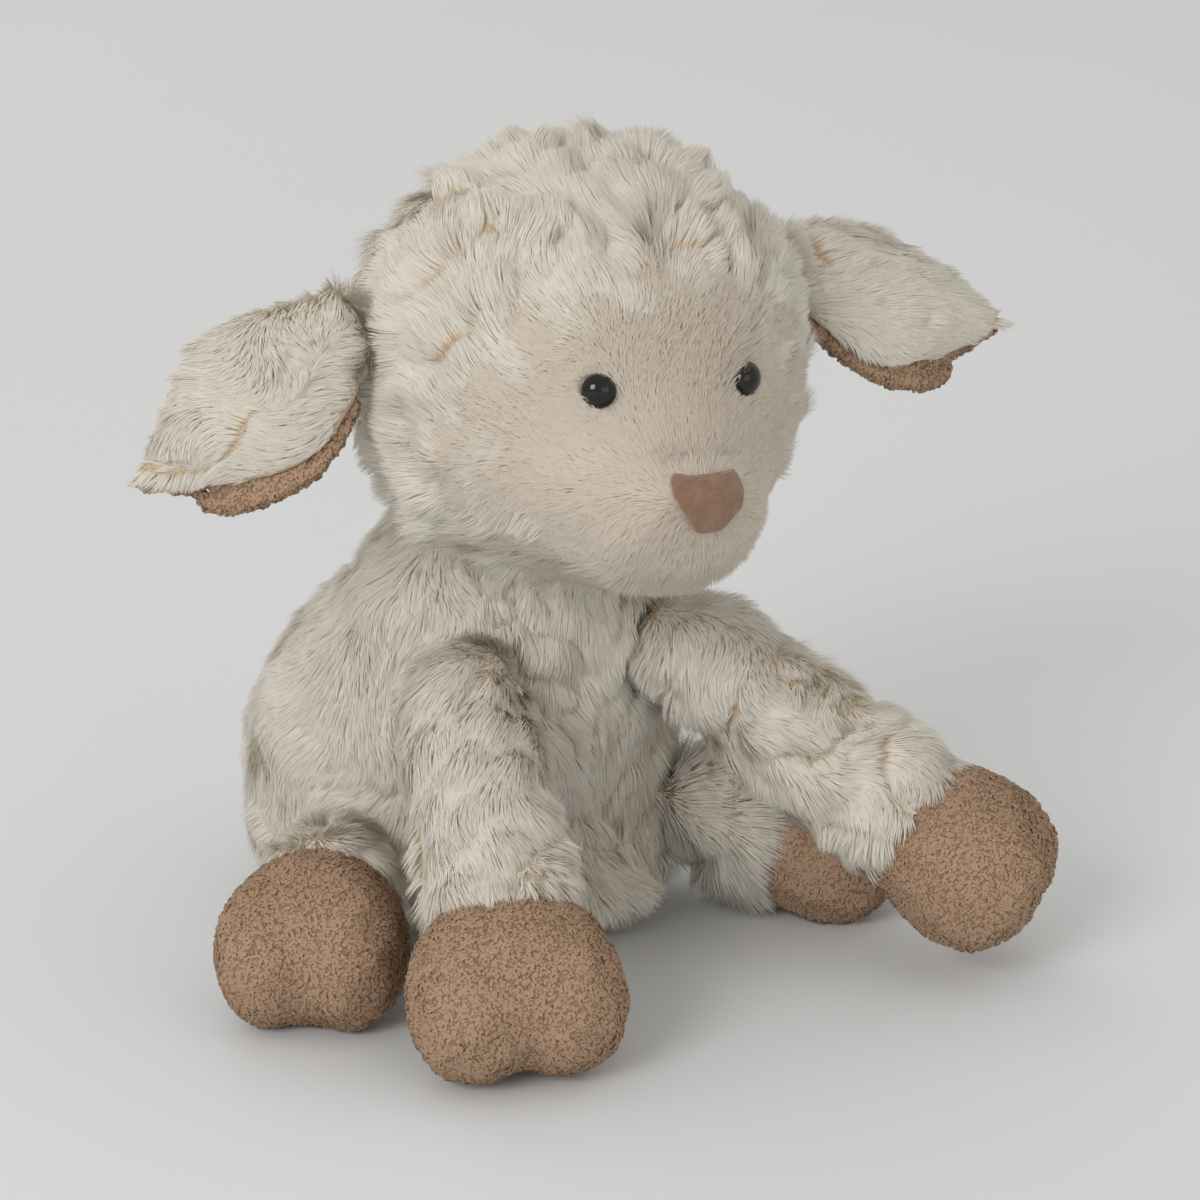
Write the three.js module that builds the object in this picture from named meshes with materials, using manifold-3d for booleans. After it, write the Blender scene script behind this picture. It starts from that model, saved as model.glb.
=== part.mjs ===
// A seated plush lamb, about 24 cm tall, with long curly pile, a short-pile face and terry hooves.
// Millimetres, +Z up, facing -Y, with the lamb's left at +X. The origin is under the middle of the seat.
// Each stuffed part is a fabric cover round its own filling. The head, the ears, the legs and the tail
// bend at the seams that join them, and each keeps clear of its neighbour over its whole bend.

import * as THREE from "three";
import { mergeVertices } from "three/addons/utils/BufferGeometryUtils.js";
import Module from "manifold-3d";

const wasm = await Module();
wasm.setup();

const radians = THREE.MathUtils.degToRad;
const UP = new THREE.Vector3(0, 0, 1);
const OUT = new THREE.Vector3(1, 0, 0);

// Driving sizes

const seam = 0.3; // clearance between two pieces that are sewn or pressed together
const footing = 0.5; // how much of a soft form is flat where it stands
const overrun = 60; // how far a cutting tool reaches past what it cuts
const melt = 3; // how softly one stuffed lobe runs into the next
const slack = 0.6; // more clearance, where a filling or the root of an ear lies in a curved hollow
const weld = 0.02; // an edge that a cut leaves shorter than this is drawn together

// Thickness of each cover, with its backing and its pile
const pile = { wool: 8, face: 5, terry: 3, velour: 3.4 };

const torso = {
  seatWidth: 132,
  seatDepth: 122,
  seatHeight: 98,
  seatBack: 4, // how far the seat's middle lies behind the origin
  lapWidth: 92, // the low front of the seat, between the hind legs
  lapDepth: 84,
  lapHeight: 48,
  lapFront: 20,
  bellyWidth: 130,
  bellyDepth: 116,
  bellyHeight: 106,
  bellyRise: 62,
  bellyFront: 9,
  chestWidth: 94,
  chestDepth: 92,
  chestHeight: 84,
  chestRise: 99,
  chestFront: 30,
  slumpHeight: 52, // below this the weight of the pellets spreads the base
  slumpShare: 0.5,
};

const pouch = { widthShare: 0.58, depthShare: 0.58, height: 24 }; // across the seat

const head = {
  skullWidth: 134,
  skullDepth: 124,
  skullHeight: 122,
  jawWidth: 116,
  jawDepth: 102,
  jawHeight: 84,
  jawDrop: 19, // below the middle of the skull
  jawFront: 9,
  muzzleWidth: 72,
  muzzleDepth: 66,
  muzzleHeight: 54,
  muzzleDrop: 30,
  muzzleFront: 48,
  turn: 2.5, // degrees, towards the lamb's right
  roll: 2, // degrees, towards the lamb's left
};

// The neck is a stuffed ball that the head turns on
const neck = { width: 68, front: 14, chestShare: 0.84, skullShare: 0.78, headFront: 28 };

const face = { width: 92, height: 72, drop: 16 };
const eye = { width: 9.4, bulge: 3.4, sink: 1, shank: 3.2, shankLength: 11, round: 22, up: 0.5 };
const washer = { width: 14, thickness: 2 };
const nose = { width: 24, height: 15, corner: 5, up: -19.5 };
const mouth = { width: 1.4, round: 16, up: -32, middleUp: -28 };

const ear = {
  length: 70,
  width: 47,
  narrowWidth: 32, // nearer the tip
  rootWidth: 25,
  tipWidth: 13,
  rootHeight: 12, // where it is gathered
  furHeight: 9, // of the long-pile back
  tipDrop: 13, // how far the tip hangs below the line of the root
  edgeDrop: 6.6, // how far the edges hang below the middle
  sunk: 5, // how deep the root is pressed into the skull's pile
  lipWidth: 6.5, // how far the lining is rolled out past the lower edge at the tip
  lipHeight: 5, // of the lining there
  lipShare: 0.2, // the least of its width, near the root, as a share of that at the tip
  wideShare: 0.42, // where the ear is widest, as a share of its length
  narrowShare: 0.82,
  edgeShare: 0.5, // how much of the fur's height is lost at the edges
  tipShare: 0.33, // and at the tip
};
// Where each ear leaves the skull, where it points, and how far it hangs and rolls forward, in degrees
const ears = {
  left: { side: 1, round: 88, up: 17, aim: 14, fall: 9, roll: 46 },
  right: { side: -1, round: 92, up: 9, aim: 3, fall: 27, roll: 46 },
};

// A limb is measured from the middle of its ball-shaped root to the middle of its hoof
// The forelegs bend up from the shoulder, and the hind legs swing out over the floor
const foreleg = { length: 95, root: 42, middle: 47, cuff: 48, sunk: 6, lifts: true, bend: [0, 24] };
const hindleg = { length: 29, root: 38, middle: 49, cuff: 48, sunk: 8, lifts: false, bend: [0, 24] };
const hoof = {
  shown: 11, // how far the sleeve stops short of the hoof's middle
  width: 51,
  length: 46,
  height: 49,
  toeWidth: 30,
  toeLength: 36,
  toeHeight: 43,
  toeSpread: 24,
  toeReach: 12,
  pressedShare: 0.12, // how much wider it is where the whole limb stands on it
};
const tail = {
  length: 36,
  root: 20,
  middle: 24,
  cuff: 15, // the width of the round tip
  sunk: 6,
  round: 180,
  up: -12,
  fall: 32, // degrees below level
  bend: [-12, 20],
};

// Where each limb leaves the torso, in degrees round from the front and up, where it points,
// how far its stuffed sleeve is bunched up, and how high its hoof is held off the floor
const limbs = [
  { name: "left_foreleg", limb: foreleg, side: 1, round: 33, up: 19, aim: 44, bunched: 4, raised: 9 },
  { name: "right_foreleg", limb: foreleg, side: -1, round: 30, up: 17, aim: 16, bunched: 14, raised: 0 },
  { name: "left_hindleg", limb: hindleg, side: 1, round: 58, up: -25, aim: 52, bunched: 0, raised: 0 },
  { name: "right_hindleg", limb: hindleg, side: -1, round: 62, up: -25, aim: 36, bunched: 0, raised: 0 },
];

const nod = [-10, 8]; // degrees, chin up and chin down
const flop = [-18, 22]; // degrees, ear down and ear up

const settlings = 8; // how often a limb is tipped before its hoof lies still

// Facets

const torsoFacets = { around: 18, along: 12 };
const headFacets = { around: 18, along: 12 };
const liningFacets = { around: 12, along: 7 };
const hoofFacets = { around: 14, along: 8 };
const hoofLiningFacets = { around: 8, along: 5 };
const ballFacets = { around: 12, along: 8 };
const sleeveFacets = { around: 12, dome: 3, along: 3 };
const sleeveLiningFacets = { around: 8, dome: 2, along: 2 };
const neckFacets = { around: 16, along: 10 };
const tailFacets = { around: 10, along: 6 };
const eyeFacets = { around: 12, rings: 4 };
const beadFacets = { around: 12, cap: 3 };
const leafFacets = { along: 8, across: 6 };
const threadFacets = { along: 14, around: 3, points: 12 };
const faceFacets = 8;
const noseFacets = 4;

// Solids from three.js geometry, and back

/** A closed three.js geometry as a solid that can be joined and cut. */
function solidOf(geometry) {
  const bare = geometry.clone();
  bare.deleteAttribute("normal");
  bare.deleteAttribute("uv");
  const merged = mergeVertices(bare);
  return new wasm.Manifold(
    new wasm.Mesh({
      numProp: 3,
      vertProperties: merged.attributes.position.array,
      triVerts: new Uint32Array(merged.index.array),
    }),
  );
}

/** The faces of a solid as a three.js geometry. */
function geometryOf(solid) {
  const mesh = solid.getMesh();
  return new THREE.BufferGeometry()
    .setAttribute("position", new THREE.BufferAttribute(mesh.vertProperties, 3))
    .setIndex(new THREE.BufferAttribute(mesh.triVerts, 1));
}

/** A geometry without the very short edges that cuts leave: the ends of each become one point. */
function welded(geometry) {
  const place = geometry.attributes.position;
  const index = geometry.index.array;
  const joined = Array.from({ length: place.count }, (_, i) => i);
  const root = (i) => (joined[i] === i ? i : root(joined[i]));
  const start = new THREE.Vector3();
  const end = new THREE.Vector3();
  for (let i = 0; i < index.length; i++) {
    const from = root(index[i]);
    const to = root(index[i % 3 === 2 ? i - 2 : i + 1]);
    start.fromBufferAttribute(place, from);
    end.fromBufferAttribute(place, to);
    if (start.distanceTo(end) < weld) joined[Math.max(from, to)] = Math.min(from, to);
  }
  const faces = [];
  for (let i = 0; i < index.length; i += 3) {
    const corners = [root(index[i]), root(index[i + 1]), root(index[i + 2])];
    if (new Set(corners).size === 3) faces.push(...corners);
  }
  return mergeVertices(geometry.setIndex(faces).toNonIndexed());
}

/** A solid carried by a matrix. */
function moved(solid, matrix) {
  return solidOf(geometryOf(solid).applyMatrix4(matrix));
}

/** A solid turned about a hinge by some degrees. */
function bent(solid, hinge, angle) {
  const turn = new THREE.Matrix4()
    .makeTranslation(hinge.pivot)
    .multiply(new THREE.Matrix4().makeRotationAxis(hinge.axis, radians(angle)))
    .multiply(new THREE.Matrix4().makeTranslation(hinge.pivot.clone().negate()));
  return moved(solid, turn);
}

/** All that a solid passes through as it bends about a hinge from one angle to another. */
function swept(solid, hinge, [low, high]) {
  return bent(solid, hinge, low).add(solid).add(bent(solid, hinge, high));
}

/** The same path seen from the piece that bends, for cutting that piece by its still neighbour. */
function sweptPast(neighbour, hinge, [low, high]) {
  return swept(neighbour, hinge, [-high, -low]);
}

// Stuffed forms

/** How far a ray from the heart runs before it leaves one lobe. */
function reachOf(lobe, direction) {
  const ray = direction.clone().divide(lobe.radii);
  const middle = lobe.centre.clone().divide(lobe.radii);
  const slope = ray.dot(middle);
  const spread = ray.lengthSq();
  const inside = slope * slope - spread * (middle.lengthSq() - 1);
  return inside < 0 ? 0 : Math.max((slope + Math.sqrt(inside)) / spread, 0);
}

/** The distance from the heart to the surface where the lobes melt into each other. */
function radiusOf(form, direction) {
  const total = form.lobes.reduce((sum, lobe) => sum + Math.exp(reachOf(lobe, direction) / melt), 0);
  return melt * Math.log(total);
}

/** A lobe from its middle, seen from the heart, and its full width, depth and height. */
function lobe(centre, width, depth, height) {
  return { centre, radii: new THREE.Vector3(width, depth, height).divideScalar(2) };
}

/** A direction from two angles in degrees: round from the front towards the left, and up. */
function heading(round, up) {
  const level = Math.cos(radians(up));
  const side = Math.sin(radians(round)) * level;
  const front = Math.cos(radians(round)) * level;
  return new THREE.Vector3(side, -front, Math.sin(radians(up)));
}

/** The point of a form's surface in a direction from its heart, lifted by some millimetres. */
function surfacePoint(form, direction, lift = 0) {
  const point = form.heart.clone().addScaledVector(direction, radiusOf(form, direction) + lift);
  if (!form.slumpHeight) return point;
  const low = Math.max(0, 1 - point.z / form.slumpHeight);
  const spread = 1 + form.slumpShare * low * low;
  return point.multiply(new THREE.Vector3(spread, spread, 1));
}

/** A form as a closed solid, grown by some millimetres, with its poles on an axis. */
function stuffed(form, grow, { around, along }, pole = UP) {
  const ball = new THREE.SphereGeometry(1, around, along);
  const stand = new THREE.Quaternion().setFromUnitVectors(new THREE.Vector3(0, 1, 0), pole);
  const place = ball.attributes.position;
  const direction = new THREE.Vector3();
  for (let i = 0; i < place.count; i++) {
    direction.fromBufferAttribute(place, i).normalize().applyQuaternion(stand);
    const point = surfacePoint(form, direction, grow);
    place.setXYZ(i, point.x, point.y, point.z);
  }
  return solidOf(ball);
}

/** A ball at a place, tipped by some radians. */
function ball(place, radius, { around, along } = ballFacets, tip = 0) {
  const sphere = new THREE.SphereGeometry(radius, around, along).rotateX(tip);
  return solidOf(sphere.translate(...place.toArray()));
}

/** The hollow in which a ball turns: its flats lie outside the ball, so that no edge catches. */
function socket(place, radius, facets = ballFacets) {
  const flats = Math.cos(Math.PI / facets.around) * Math.cos(Math.PI / (2 * facets.along));
  return ball(place, (radius + seam) / flats, facets, Math.PI / 2);
}

/** A block that fills everything under the floor. */
function ground() {
  const wide = torso.seatWidth + foreleg.length + overrun;
  return solidOf(new THREE.BoxGeometry(2 * wide, 2 * wide, overrun).translate(0, 0, -overrun / 2));
}

// Materials

function cloth(color, roughness = 1) {
  return new THREE.MeshStandardMaterial({ color, roughness, metalness: 0 });
}

const wool = () => cloth(0xe9e3d6);
const shortPile = () => cloth(0xe2d8c8);
const terry = () => cloth(0xb5967a);
const velour = () => cloth(0xb98d74, 0.9);
const filling = () => cloth(0xf4f4f2);
const pouchCloth = () => cloth(0xd8d8d4, 0.9);
const gloss = () => cloth(0x0a0a0b, 0.08);
const plastic = () => cloth(0xe8e8e4, 0.5);
const thread = () => cloth(0x8a6a52, 0.8);

// Assembly

const lamb = new THREE.Group();
const headGroup = new THREE.Group();
lamb.add(headGroup);

/** Adds a solid, given in the lamb's own frame, to a group as a named mesh. */
function add(group, name, solid, material) {
  group.updateWorldMatrix(true, false);
  const local = welded(geometryOf(solid)).applyMatrix4(group.matrixWorld.clone().invert());
  const mesh = new THREE.Mesh(local, material);
  mesh.name = name;
  group.add(mesh);
}

/** The hinge of a piece whose group stands at its pivot and points along +X: it lifts the piece. */
function hingeOf(group) {
  group.updateWorldMatrix(true, false);
  return {
    pivot: new THREE.Vector3().setFromMatrixPosition(group.matrixWorld),
    axis: new THREE.Vector3(0, -1, 0).transformDirection(group.matrixWorld),
  };
}

/** The hinge of a limb: across it where it lifts, and upright where it swings outwards. */
function limbHinge(limb, side, group) {
  const hinge = hingeOf(group);
  return limb.lifts ? hinge : { pivot: hinge.pivot, axis: new THREE.Vector3(0, 0, side) };
}

// Torso and head forms

const torsoForm = {
  slumpHeight: torso.slumpHeight,
  slumpShare: torso.slumpShare,
  heart: new THREE.Vector3(0, -torso.bellyFront, torso.bellyRise),
  lobes: [
    lobe(
      new THREE.Vector3(
        0,
        torso.seatBack + torso.bellyFront,
        torso.seatHeight / 2 - footing - torso.bellyRise,
      ),
      torso.seatWidth,
      torso.seatDepth,
      torso.seatHeight,
    ),
    lobe(
      new THREE.Vector3(
        0,
        torso.bellyFront - torso.lapFront,
        torso.lapHeight / 2 - footing - torso.bellyRise,
      ),
      torso.lapWidth,
      torso.lapDepth,
      torso.lapHeight,
    ),
    lobe(new THREE.Vector3(), torso.bellyWidth, torso.bellyDepth, torso.bellyHeight),
    lobe(
      new THREE.Vector3(0, torso.bellyFront - torso.chestFront, torso.chestRise - torso.bellyRise),
      torso.chestWidth,
      torso.chestDepth,
      torso.chestHeight,
    ),
  ],
};

const neckPivot = new THREE.Vector3(
  0,
  -torso.chestFront - neck.front,
  torso.chestRise + (neck.chestShare * torso.chestHeight) / 2,
);
const neckRadius = neck.width / 2;

headGroup.position.set(
  0,
  neckPivot.y - neck.headFront,
  neckPivot.z + (neck.skullShare * head.skullHeight) / 2,
);
headGroup.rotation.set(0, radians(head.roll), radians(-head.turn));
headGroup.updateWorldMatrix(true, false);

// In the head's own frame, with the middle of the skull at its heart
const headForm = {
  heart: new THREE.Vector3(),
  lobes: [
    lobe(new THREE.Vector3(), head.skullWidth, head.skullDepth, head.skullHeight),
    lobe(
      new THREE.Vector3(0, -head.jawFront, -head.jawDrop),
      head.jawWidth,
      head.jawDepth,
      head.jawHeight,
    ),
    lobe(
      new THREE.Vector3(0, -head.muzzleFront, -head.muzzleDrop),
      head.muzzleWidth,
      head.muzzleDepth,
      head.muzzleHeight,
    ),
  ],
};

/** The head's form in the lamb's frame, grown by some millimetres. */
function headSolid(grow) {
  const muzzle = new THREE.Vector3(0, -head.muzzleFront, -head.muzzleDrop).normalize();
  return moved(stuffed(headForm, grow, headFacets, muzzle), headGroup.matrixWorld);
}

const nodHinge = {
  pivot: neckPivot,
  axis: new THREE.Vector3(1, 0, 0).transformDirection(headGroup.matrixWorld),
};

/** The torso's form without what the head passes through, grown by some millimetres. */
function torsoSolid(grow, facets = torsoFacets) {
  const headPath = swept(headSolid(seam - grow), nodHinge, nod);
  return stuffed(torsoForm, grow, facets).subtract(headPath);
}

// Limbs

/** A profile turned about the limb's own line, half a facet round from the hoof's facets. */
function turned(profile, around) {
  return solidOf(new THREE.LatheGeometry(profile, around, Math.PI / around).rotateZ(-Math.PI / 2));
}

/** The ball at a limb's root, in the limb's frame. */
function rootBall(limb, grow, { around, dome }) {
  const radius = limb.root / 2 + grow;
  const profile = [];
  for (let i = -dome; i <= dome; i++) {
    const turn = (Math.PI / 2) * (i / dome);
    profile.push(new THREE.Vector2(Math.abs(i) < dome ? radius * Math.cos(turn) : 0, radius * Math.sin(turn)));
  }
  return turned(profile, around);
}

/** A round tapering tube along +X, from the middle of the root's ball to the cuff. */
function tapered(limb, length, grow, { around, along }) {
  const run = new THREE.SplineCurve([
    new THREE.Vector2(limb.root / 2 + grow, 0),
    new THREE.Vector2(limb.middle / 2 + grow, length / 2),
    new THREE.Vector2(limb.cuff / 2 + grow, length),
  ]);
  const profile = [new THREE.Vector2(0, 0), ...run.getPoints(along), new THREE.Vector2(0, length)];
  return turned(profile, around);
}

/** A hoof's form at the end of a limb: a heel and two toes with a cleft between them. */
function hoofForm({ limb, bunched, raised }) {
  const wide = 1 + (limb.lifts && !raised ? hoof.pressedShare : 0);
  const toe = (side) =>
    lobe(
      new THREE.Vector3(hoof.toeReach, (side * wide * hoof.toeSpread) / 2, 0),
      hoof.toeLength,
      wide * hoof.toeWidth,
      hoof.toeHeight,
    );
  return {
    heart: new THREE.Vector3(limb.length - bunched, 0, 0),
    lobes: [lobe(new THREE.Vector3(), hoof.length, wide * hoof.width, hoof.height), toe(1), toe(-1)],
  };
}

/** The group of a limb, placed at its root and tipped until its hoof stands on the floor or hangs above. */
function limbGroup(where) {
  const { limb, side, round, up, aim, bunched, raised } = where;
  const outward = heading(side * round, up);
  const length = limb.length - bunched;
  const group = new THREE.Group();
  group.position.copy(surfacePoint(torsoForm, outward, limb.root / 2 - limb.sunk));
  group.rotation.order = "ZYX";
  group.rotation.z = radians(side * aim - 90);
  const foot = stuffed(hoofForm(where), 0, hoofFacets, OUT);
  for (let i = 0; i < settlings; i++) {
    group.updateWorldMatrix(true, false);
    const low = moved(foot, group.matrixWorld).boundingBox().min[2];
    group.rotation.y += (low - (raised || -footing)) / length;
  }
  lamb.add(group);
  return group;
}

/** A limb's sleeve form in the lamb's frame, kept short of the torso but for the ball of its root. */
function sleeveSolid({ limb, bunched, side }, group, grow, short = 0) {
  const inner = grow < 0;
  const facets = inner ? sleeveLiningFacets : sleeveFacets;
  const length = limb.length - bunched - (inner ? 0 : hoof.shown);
  const hinge = limbHinge(limb, side, group);
  const past = sweptPast(stuffed(torsoForm, seam - grow + short, torsoFacets), hinge, limb.bend);
  const tube = moved(tapered(limb, length, grow, facets), group.matrixWorld);
  return tube.subtract(past).add(moved(rootBall(limb, grow, facets), group.matrixWorld));
}

/** A hoof's form in the lamb's frame. */
function hoofSolid(where, group, grow) {
  const facets = grow < 0 ? hoofLiningFacets : hoofFacets;
  return moved(stuffed(hoofForm(where), grow, facets, OUT), group.matrixWorld);
}

/** Adds a limb's sleeve, hoof and filling, flat where they lie on the floor. */
function addLimb(where, group) {
  const floor = ground();
  const lining = sleeveSolid(where, group, -pile.wool);
  const sleeve = sleeveSolid(where, group, 0).subtract(lining).subtract(hoofSolid(where, group, seam));
  const shoe = hoofSolid(where, group, 0).subtract(hoofSolid(where, group, -pile.terry));
  const stuffing = sleeveSolid(where, group, -pile.wool - seam, slack);
  add(group, `${where.name}_sleeve`, sleeve.subtract(floor), wool());
  add(group, `${where.name}_hoof`, shoe.subtract(lining).subtract(floor), terry());
  add(group, `${where.name}_fill`, stuffing.add(hoofSolid(where, group, -pile.terry - seam)), filling());
}

const limbGroups = limbs.map(limbGroup);
limbs.forEach((where, i) => addLimb(where, limbGroups[i]));

// Tail

/** The group of the tail, at its root on the back of the torso. */
function tailGroup() {
  const outward = heading(tail.round, tail.up);
  const group = new THREE.Group();
  group.position.copy(surfacePoint(torsoForm, outward, tail.root / 2 - tail.sunk));
  group.rotation.order = "ZYX";
  group.rotation.z = radians(tail.round - 90);
  group.rotation.y = radians(tail.fall);
  lamb.add(group);
  return group;
}

/** The tail: a lightly stuffed tube that tapers to a round tip. */
function addTail(group) {
  const hinge = hingeOf(group);
  const tip = new THREE.Vector3(tail.length - tail.cuff / 2, 0, 0);
  const tube = tapered(tail, tip.x, 0, sleeveLiningFacets).add(ball(tip, tail.cuff / 2, tailFacets));
  const past = sweptPast(stuffed(torsoForm, seam, torsoFacets), hinge, tail.bend);
  const clear = moved(tube, group.matrixWorld).subtract(past);
  add(group, "tail", clear.add(ball(hinge.pivot, tail.root / 2)), wool());
}

const tailPlace = tailGroup();
addTail(tailPlace);

// Torso

/** Adds the torso's cover, its filling, the neck, and the pouch of pellets that weighs it down. */
function addTorso() {
  let cover = torsoSolid(0).subtract(torsoSolid(-pile.wool, liningFacets)).subtract(ground());
  cover = cover.subtract(socket(neckPivot, neckRadius, neckFacets));
  limbs.forEach(({ limb }, i) => {
    cover = cover.subtract(socket(hingeOf(limbGroups[i]).pivot, limb.root / 2));
  });
  cover = cover.subtract(socket(hingeOf(tailPlace).pivot, tail.root / 2));
  add(lamb, "torso_cover", cover, wool());

  const pouchWidth = pouch.widthShare * torso.seatWidth;
  const pouchDepth = pouch.depthShare * torso.seatDepth;
  const inside = torsoSolid(-pile.wool - seam, liningFacets);
  const bag = (grow) =>
    stuffed(
      {
        heart: new THREE.Vector3(0, torso.seatBack, pile.wool + pouch.height / 2 - footing),
        lobes: [lobe(new THREE.Vector3(), pouchWidth, pouchDepth, pouch.height)],
      },
      grow,
      liningFacets,
    );
  const neckRoom = socket(neckPivot, neckRadius, neckFacets);
  add(lamb, "torso_fill", inside.subtract(bag(seam)).subtract(neckRoom), filling());
  add(lamb, "neck", ball(neckPivot, neckRadius, neckFacets), wool());
  add(lamb, "pellet_pouch", bag(0).intersect(inside), pouchCloth());
}

addTorso();

// Head

/** A solid of the head's own frame carried to the lamb's frame. */
function onHead(solid) {
  return moved(solid, headGroup.matrixWorld);
}

/** The column in front of the skull whose outline is the face, grown by some millimetres. */
function faceColumn(grow) {
  const outline = new THREE.Shape();
  outline.absellipse(0, 0, face.width / 2 + grow, face.height / 2 + grow, 0, 2 * Math.PI);
  const depth = head.muzzleFront + head.muzzleDepth + overrun;
  const column = new THREE.ExtrudeGeometry(outline, {
    depth,
    bevelEnabled: false,
    curveSegments: faceFacets,
  });
  return onHead(solidOf(column.rotateX(Math.PI / 2).translate(0, 0, -face.drop)));
}

/** The place of something sewn to the face, pointing along +Z away from the head. */
function faceMatrix(round, up, lift) {
  const direction = heading(round, up);
  const point = surfacePoint(headForm, direction, pile.face - pile.wool + lift);
  const turn = new THREE.Quaternion().setFromUnitVectors(UP, direction);
  const place = new THREE.Matrix4().compose(point, turn, new THREE.Vector3(1, 1, 1));
  return place.premultiply(headGroup.matrixWorld);
}

/** A button eye with its shank, grown by some millimetres. */
function eyeButton(grow) {
  const radius = eye.width / 2 + grow;
  const stem = eye.shank / 2 + grow;
  const profile = [
    new THREE.Vector2(0, -eye.shankLength - grow),
    new THREE.Vector2(stem, -eye.shankLength - grow),
    new THREE.Vector2(stem, -grow),
    new THREE.Vector2(radius, -grow),
  ];
  const { around, rings } = eyeFacets;
  for (let i = 0; i <= rings; i++) {
    const turn = (Math.PI / 2) * (i / rings);
    const x = i === rings ? 0 : radius * Math.cos(turn);
    profile.push(new THREE.Vector2(x, (eye.bulge + grow) * Math.sin(turn)));
  }
  return solidOf(new THREE.LatheGeometry(profile, around).rotateX(Math.PI / 2));
}

/** A washer that locks on the shank behind the face, or the plain disc of its room. */
function washerDisc(grow, bore) {
  const front = -pile.face + eye.sink;
  const back = front - washer.thickness - grow;
  const outer = washer.width / 2 + grow;
  const profile = [
    new THREE.Vector2(bore, back),
    new THREE.Vector2(outer, back),
    new THREE.Vector2(outer, front + grow),
    new THREE.Vector2(bore, front + grow),
  ];
  if (bore > 0) profile.push(profile[0].clone());
  return solidOf(new THREE.LatheGeometry(profile, eyeFacets.around).rotateX(Math.PI / 2));
}

/** The nose pad's outline as a column: a triangle with round corners, wide at the top. */
function noseColumn() {
  const wide = nose.width / 2;
  const high = nose.height / 2;
  const round = nose.corner;
  const outline = new THREE.Shape();
  outline.moveTo(-wide + round, high);
  outline.lineTo(wide - round, high);
  outline.quadraticCurveTo(wide, high, wide, high - round);
  outline.quadraticCurveTo(wide - round, -high + round, round, -high);
  outline.lineTo(-round, -high);
  outline.quadraticCurveTo(-wide + round, -high + round, -wide, high - round);
  outline.quadraticCurveTo(-wide, high, -wide + round, high);
  const options = { depth: overrun, bevelEnabled: false, curveSegments: noseFacets };
  return solidOf(new THREE.ExtrudeGeometry(outline, options).translate(0, 0, -overrun / 2));
}

/** The mouth's thread, laid over the face from one corner of the mouth to the other. */
function mouthThread() {
  const points = [];
  for (let i = 0; i <= threadFacets.points; i++) {
    const share = (2 * i) / threadFacets.points - 1;
    const up = mouth.middleUp + (mouth.up - mouth.middleUp) * share * share;
    const lift = pile.face - pile.wool + mouth.width / 2;
    points.push(surfacePoint(headForm, heading(mouth.round * share, up), lift));
  }
  const section = new THREE.Shape();
  section.absarc(0, 0, mouth.width / 2, 0, 2 * Math.PI);
  const path = new THREE.CatmullRomCurve3(points);
  const options = { steps: threadFacets.along, extrudePath: path, curveSegments: threadFacets.around };
  const strand = onHead(solidOf(new THREE.ExtrudeGeometry(section, options)));
  return strand.subtract(headSolid(pile.face - pile.wool + seam));
}

/** The group of an ear, at its root on the side of the skull. */
function earGroup({ side, round, up, aim, fall, roll }) {
  const group = new THREE.Group();
  const outward = heading(side * round, up);
  group.position.copy(surfacePoint(headForm, outward, ear.rootHeight / 2 - ear.sunk));
  group.rotation.order = "ZYX";
  group.rotation.z = radians(side > 0 ? -aim : 180 + aim);
  group.rotation.y = radians(fall);
  group.rotation.x = radians(side * roll);
  headGroup.add(group);
  return group;
}

/** The gathered root of an ear, a bead along its hinge, grown by some millimetres. */
function earRoot(group, grow) {
  const { cap, around } = beadFacets;
  const bead = new THREE.CapsuleGeometry(ear.rootHeight / 2 + grow, ear.rootWidth - ear.rootHeight, cap, around);
  bead.rotateY(Math.PI / around);
  group.updateWorldMatrix(true, false);
  return moved(solidOf(bead), group.matrixWorld);
}

/**
 * A point of the leaf, from its shares along and across it and the level it would have if it lay flat.
 * Across it, one is the leaf's edge and two is the edge of the lip.
 */
function leafPoint(share, across, level) {
  const outline = new THREE.SplineCurve([
    new THREE.Vector2(0, ear.rootWidth / 2 - slack),
    new THREE.Vector2(ear.wideShare * ear.length, ear.width / 2),
    new THREE.Vector2(ear.narrowShare * ear.length, ear.narrowWidth / 2),
    new THREE.Vector2(ear.length, ear.tipWidth / 2),
  ]);
  const edge = outline.getPoint(share);
  const out = edge.x / ear.length;
  const inner = THREE.MathUtils.clamp(across, -1, 1);
  const hang = ear.tipDrop * out * out + ear.edgeDrop * inner * inner * Math.sqrt(out);
  const pull = 1 - (ear.tipWidth * inner * inner * out) / ear.length;
  const lip = (across - inner) * ear.lipWidth * Math.max(out, ear.lipShare);
  return [edge.x * pull, inner * edge.y + lip, level(out, across) - hang];
}

/** The shares across a leaf at which its points stand, in order from one edge to the other. */
function leafColumns() {
  const { across } = leafFacets;
  return Array.from({ length: across + 1 }, (_, j) => (2 * j) / across - 1);
}

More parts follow.
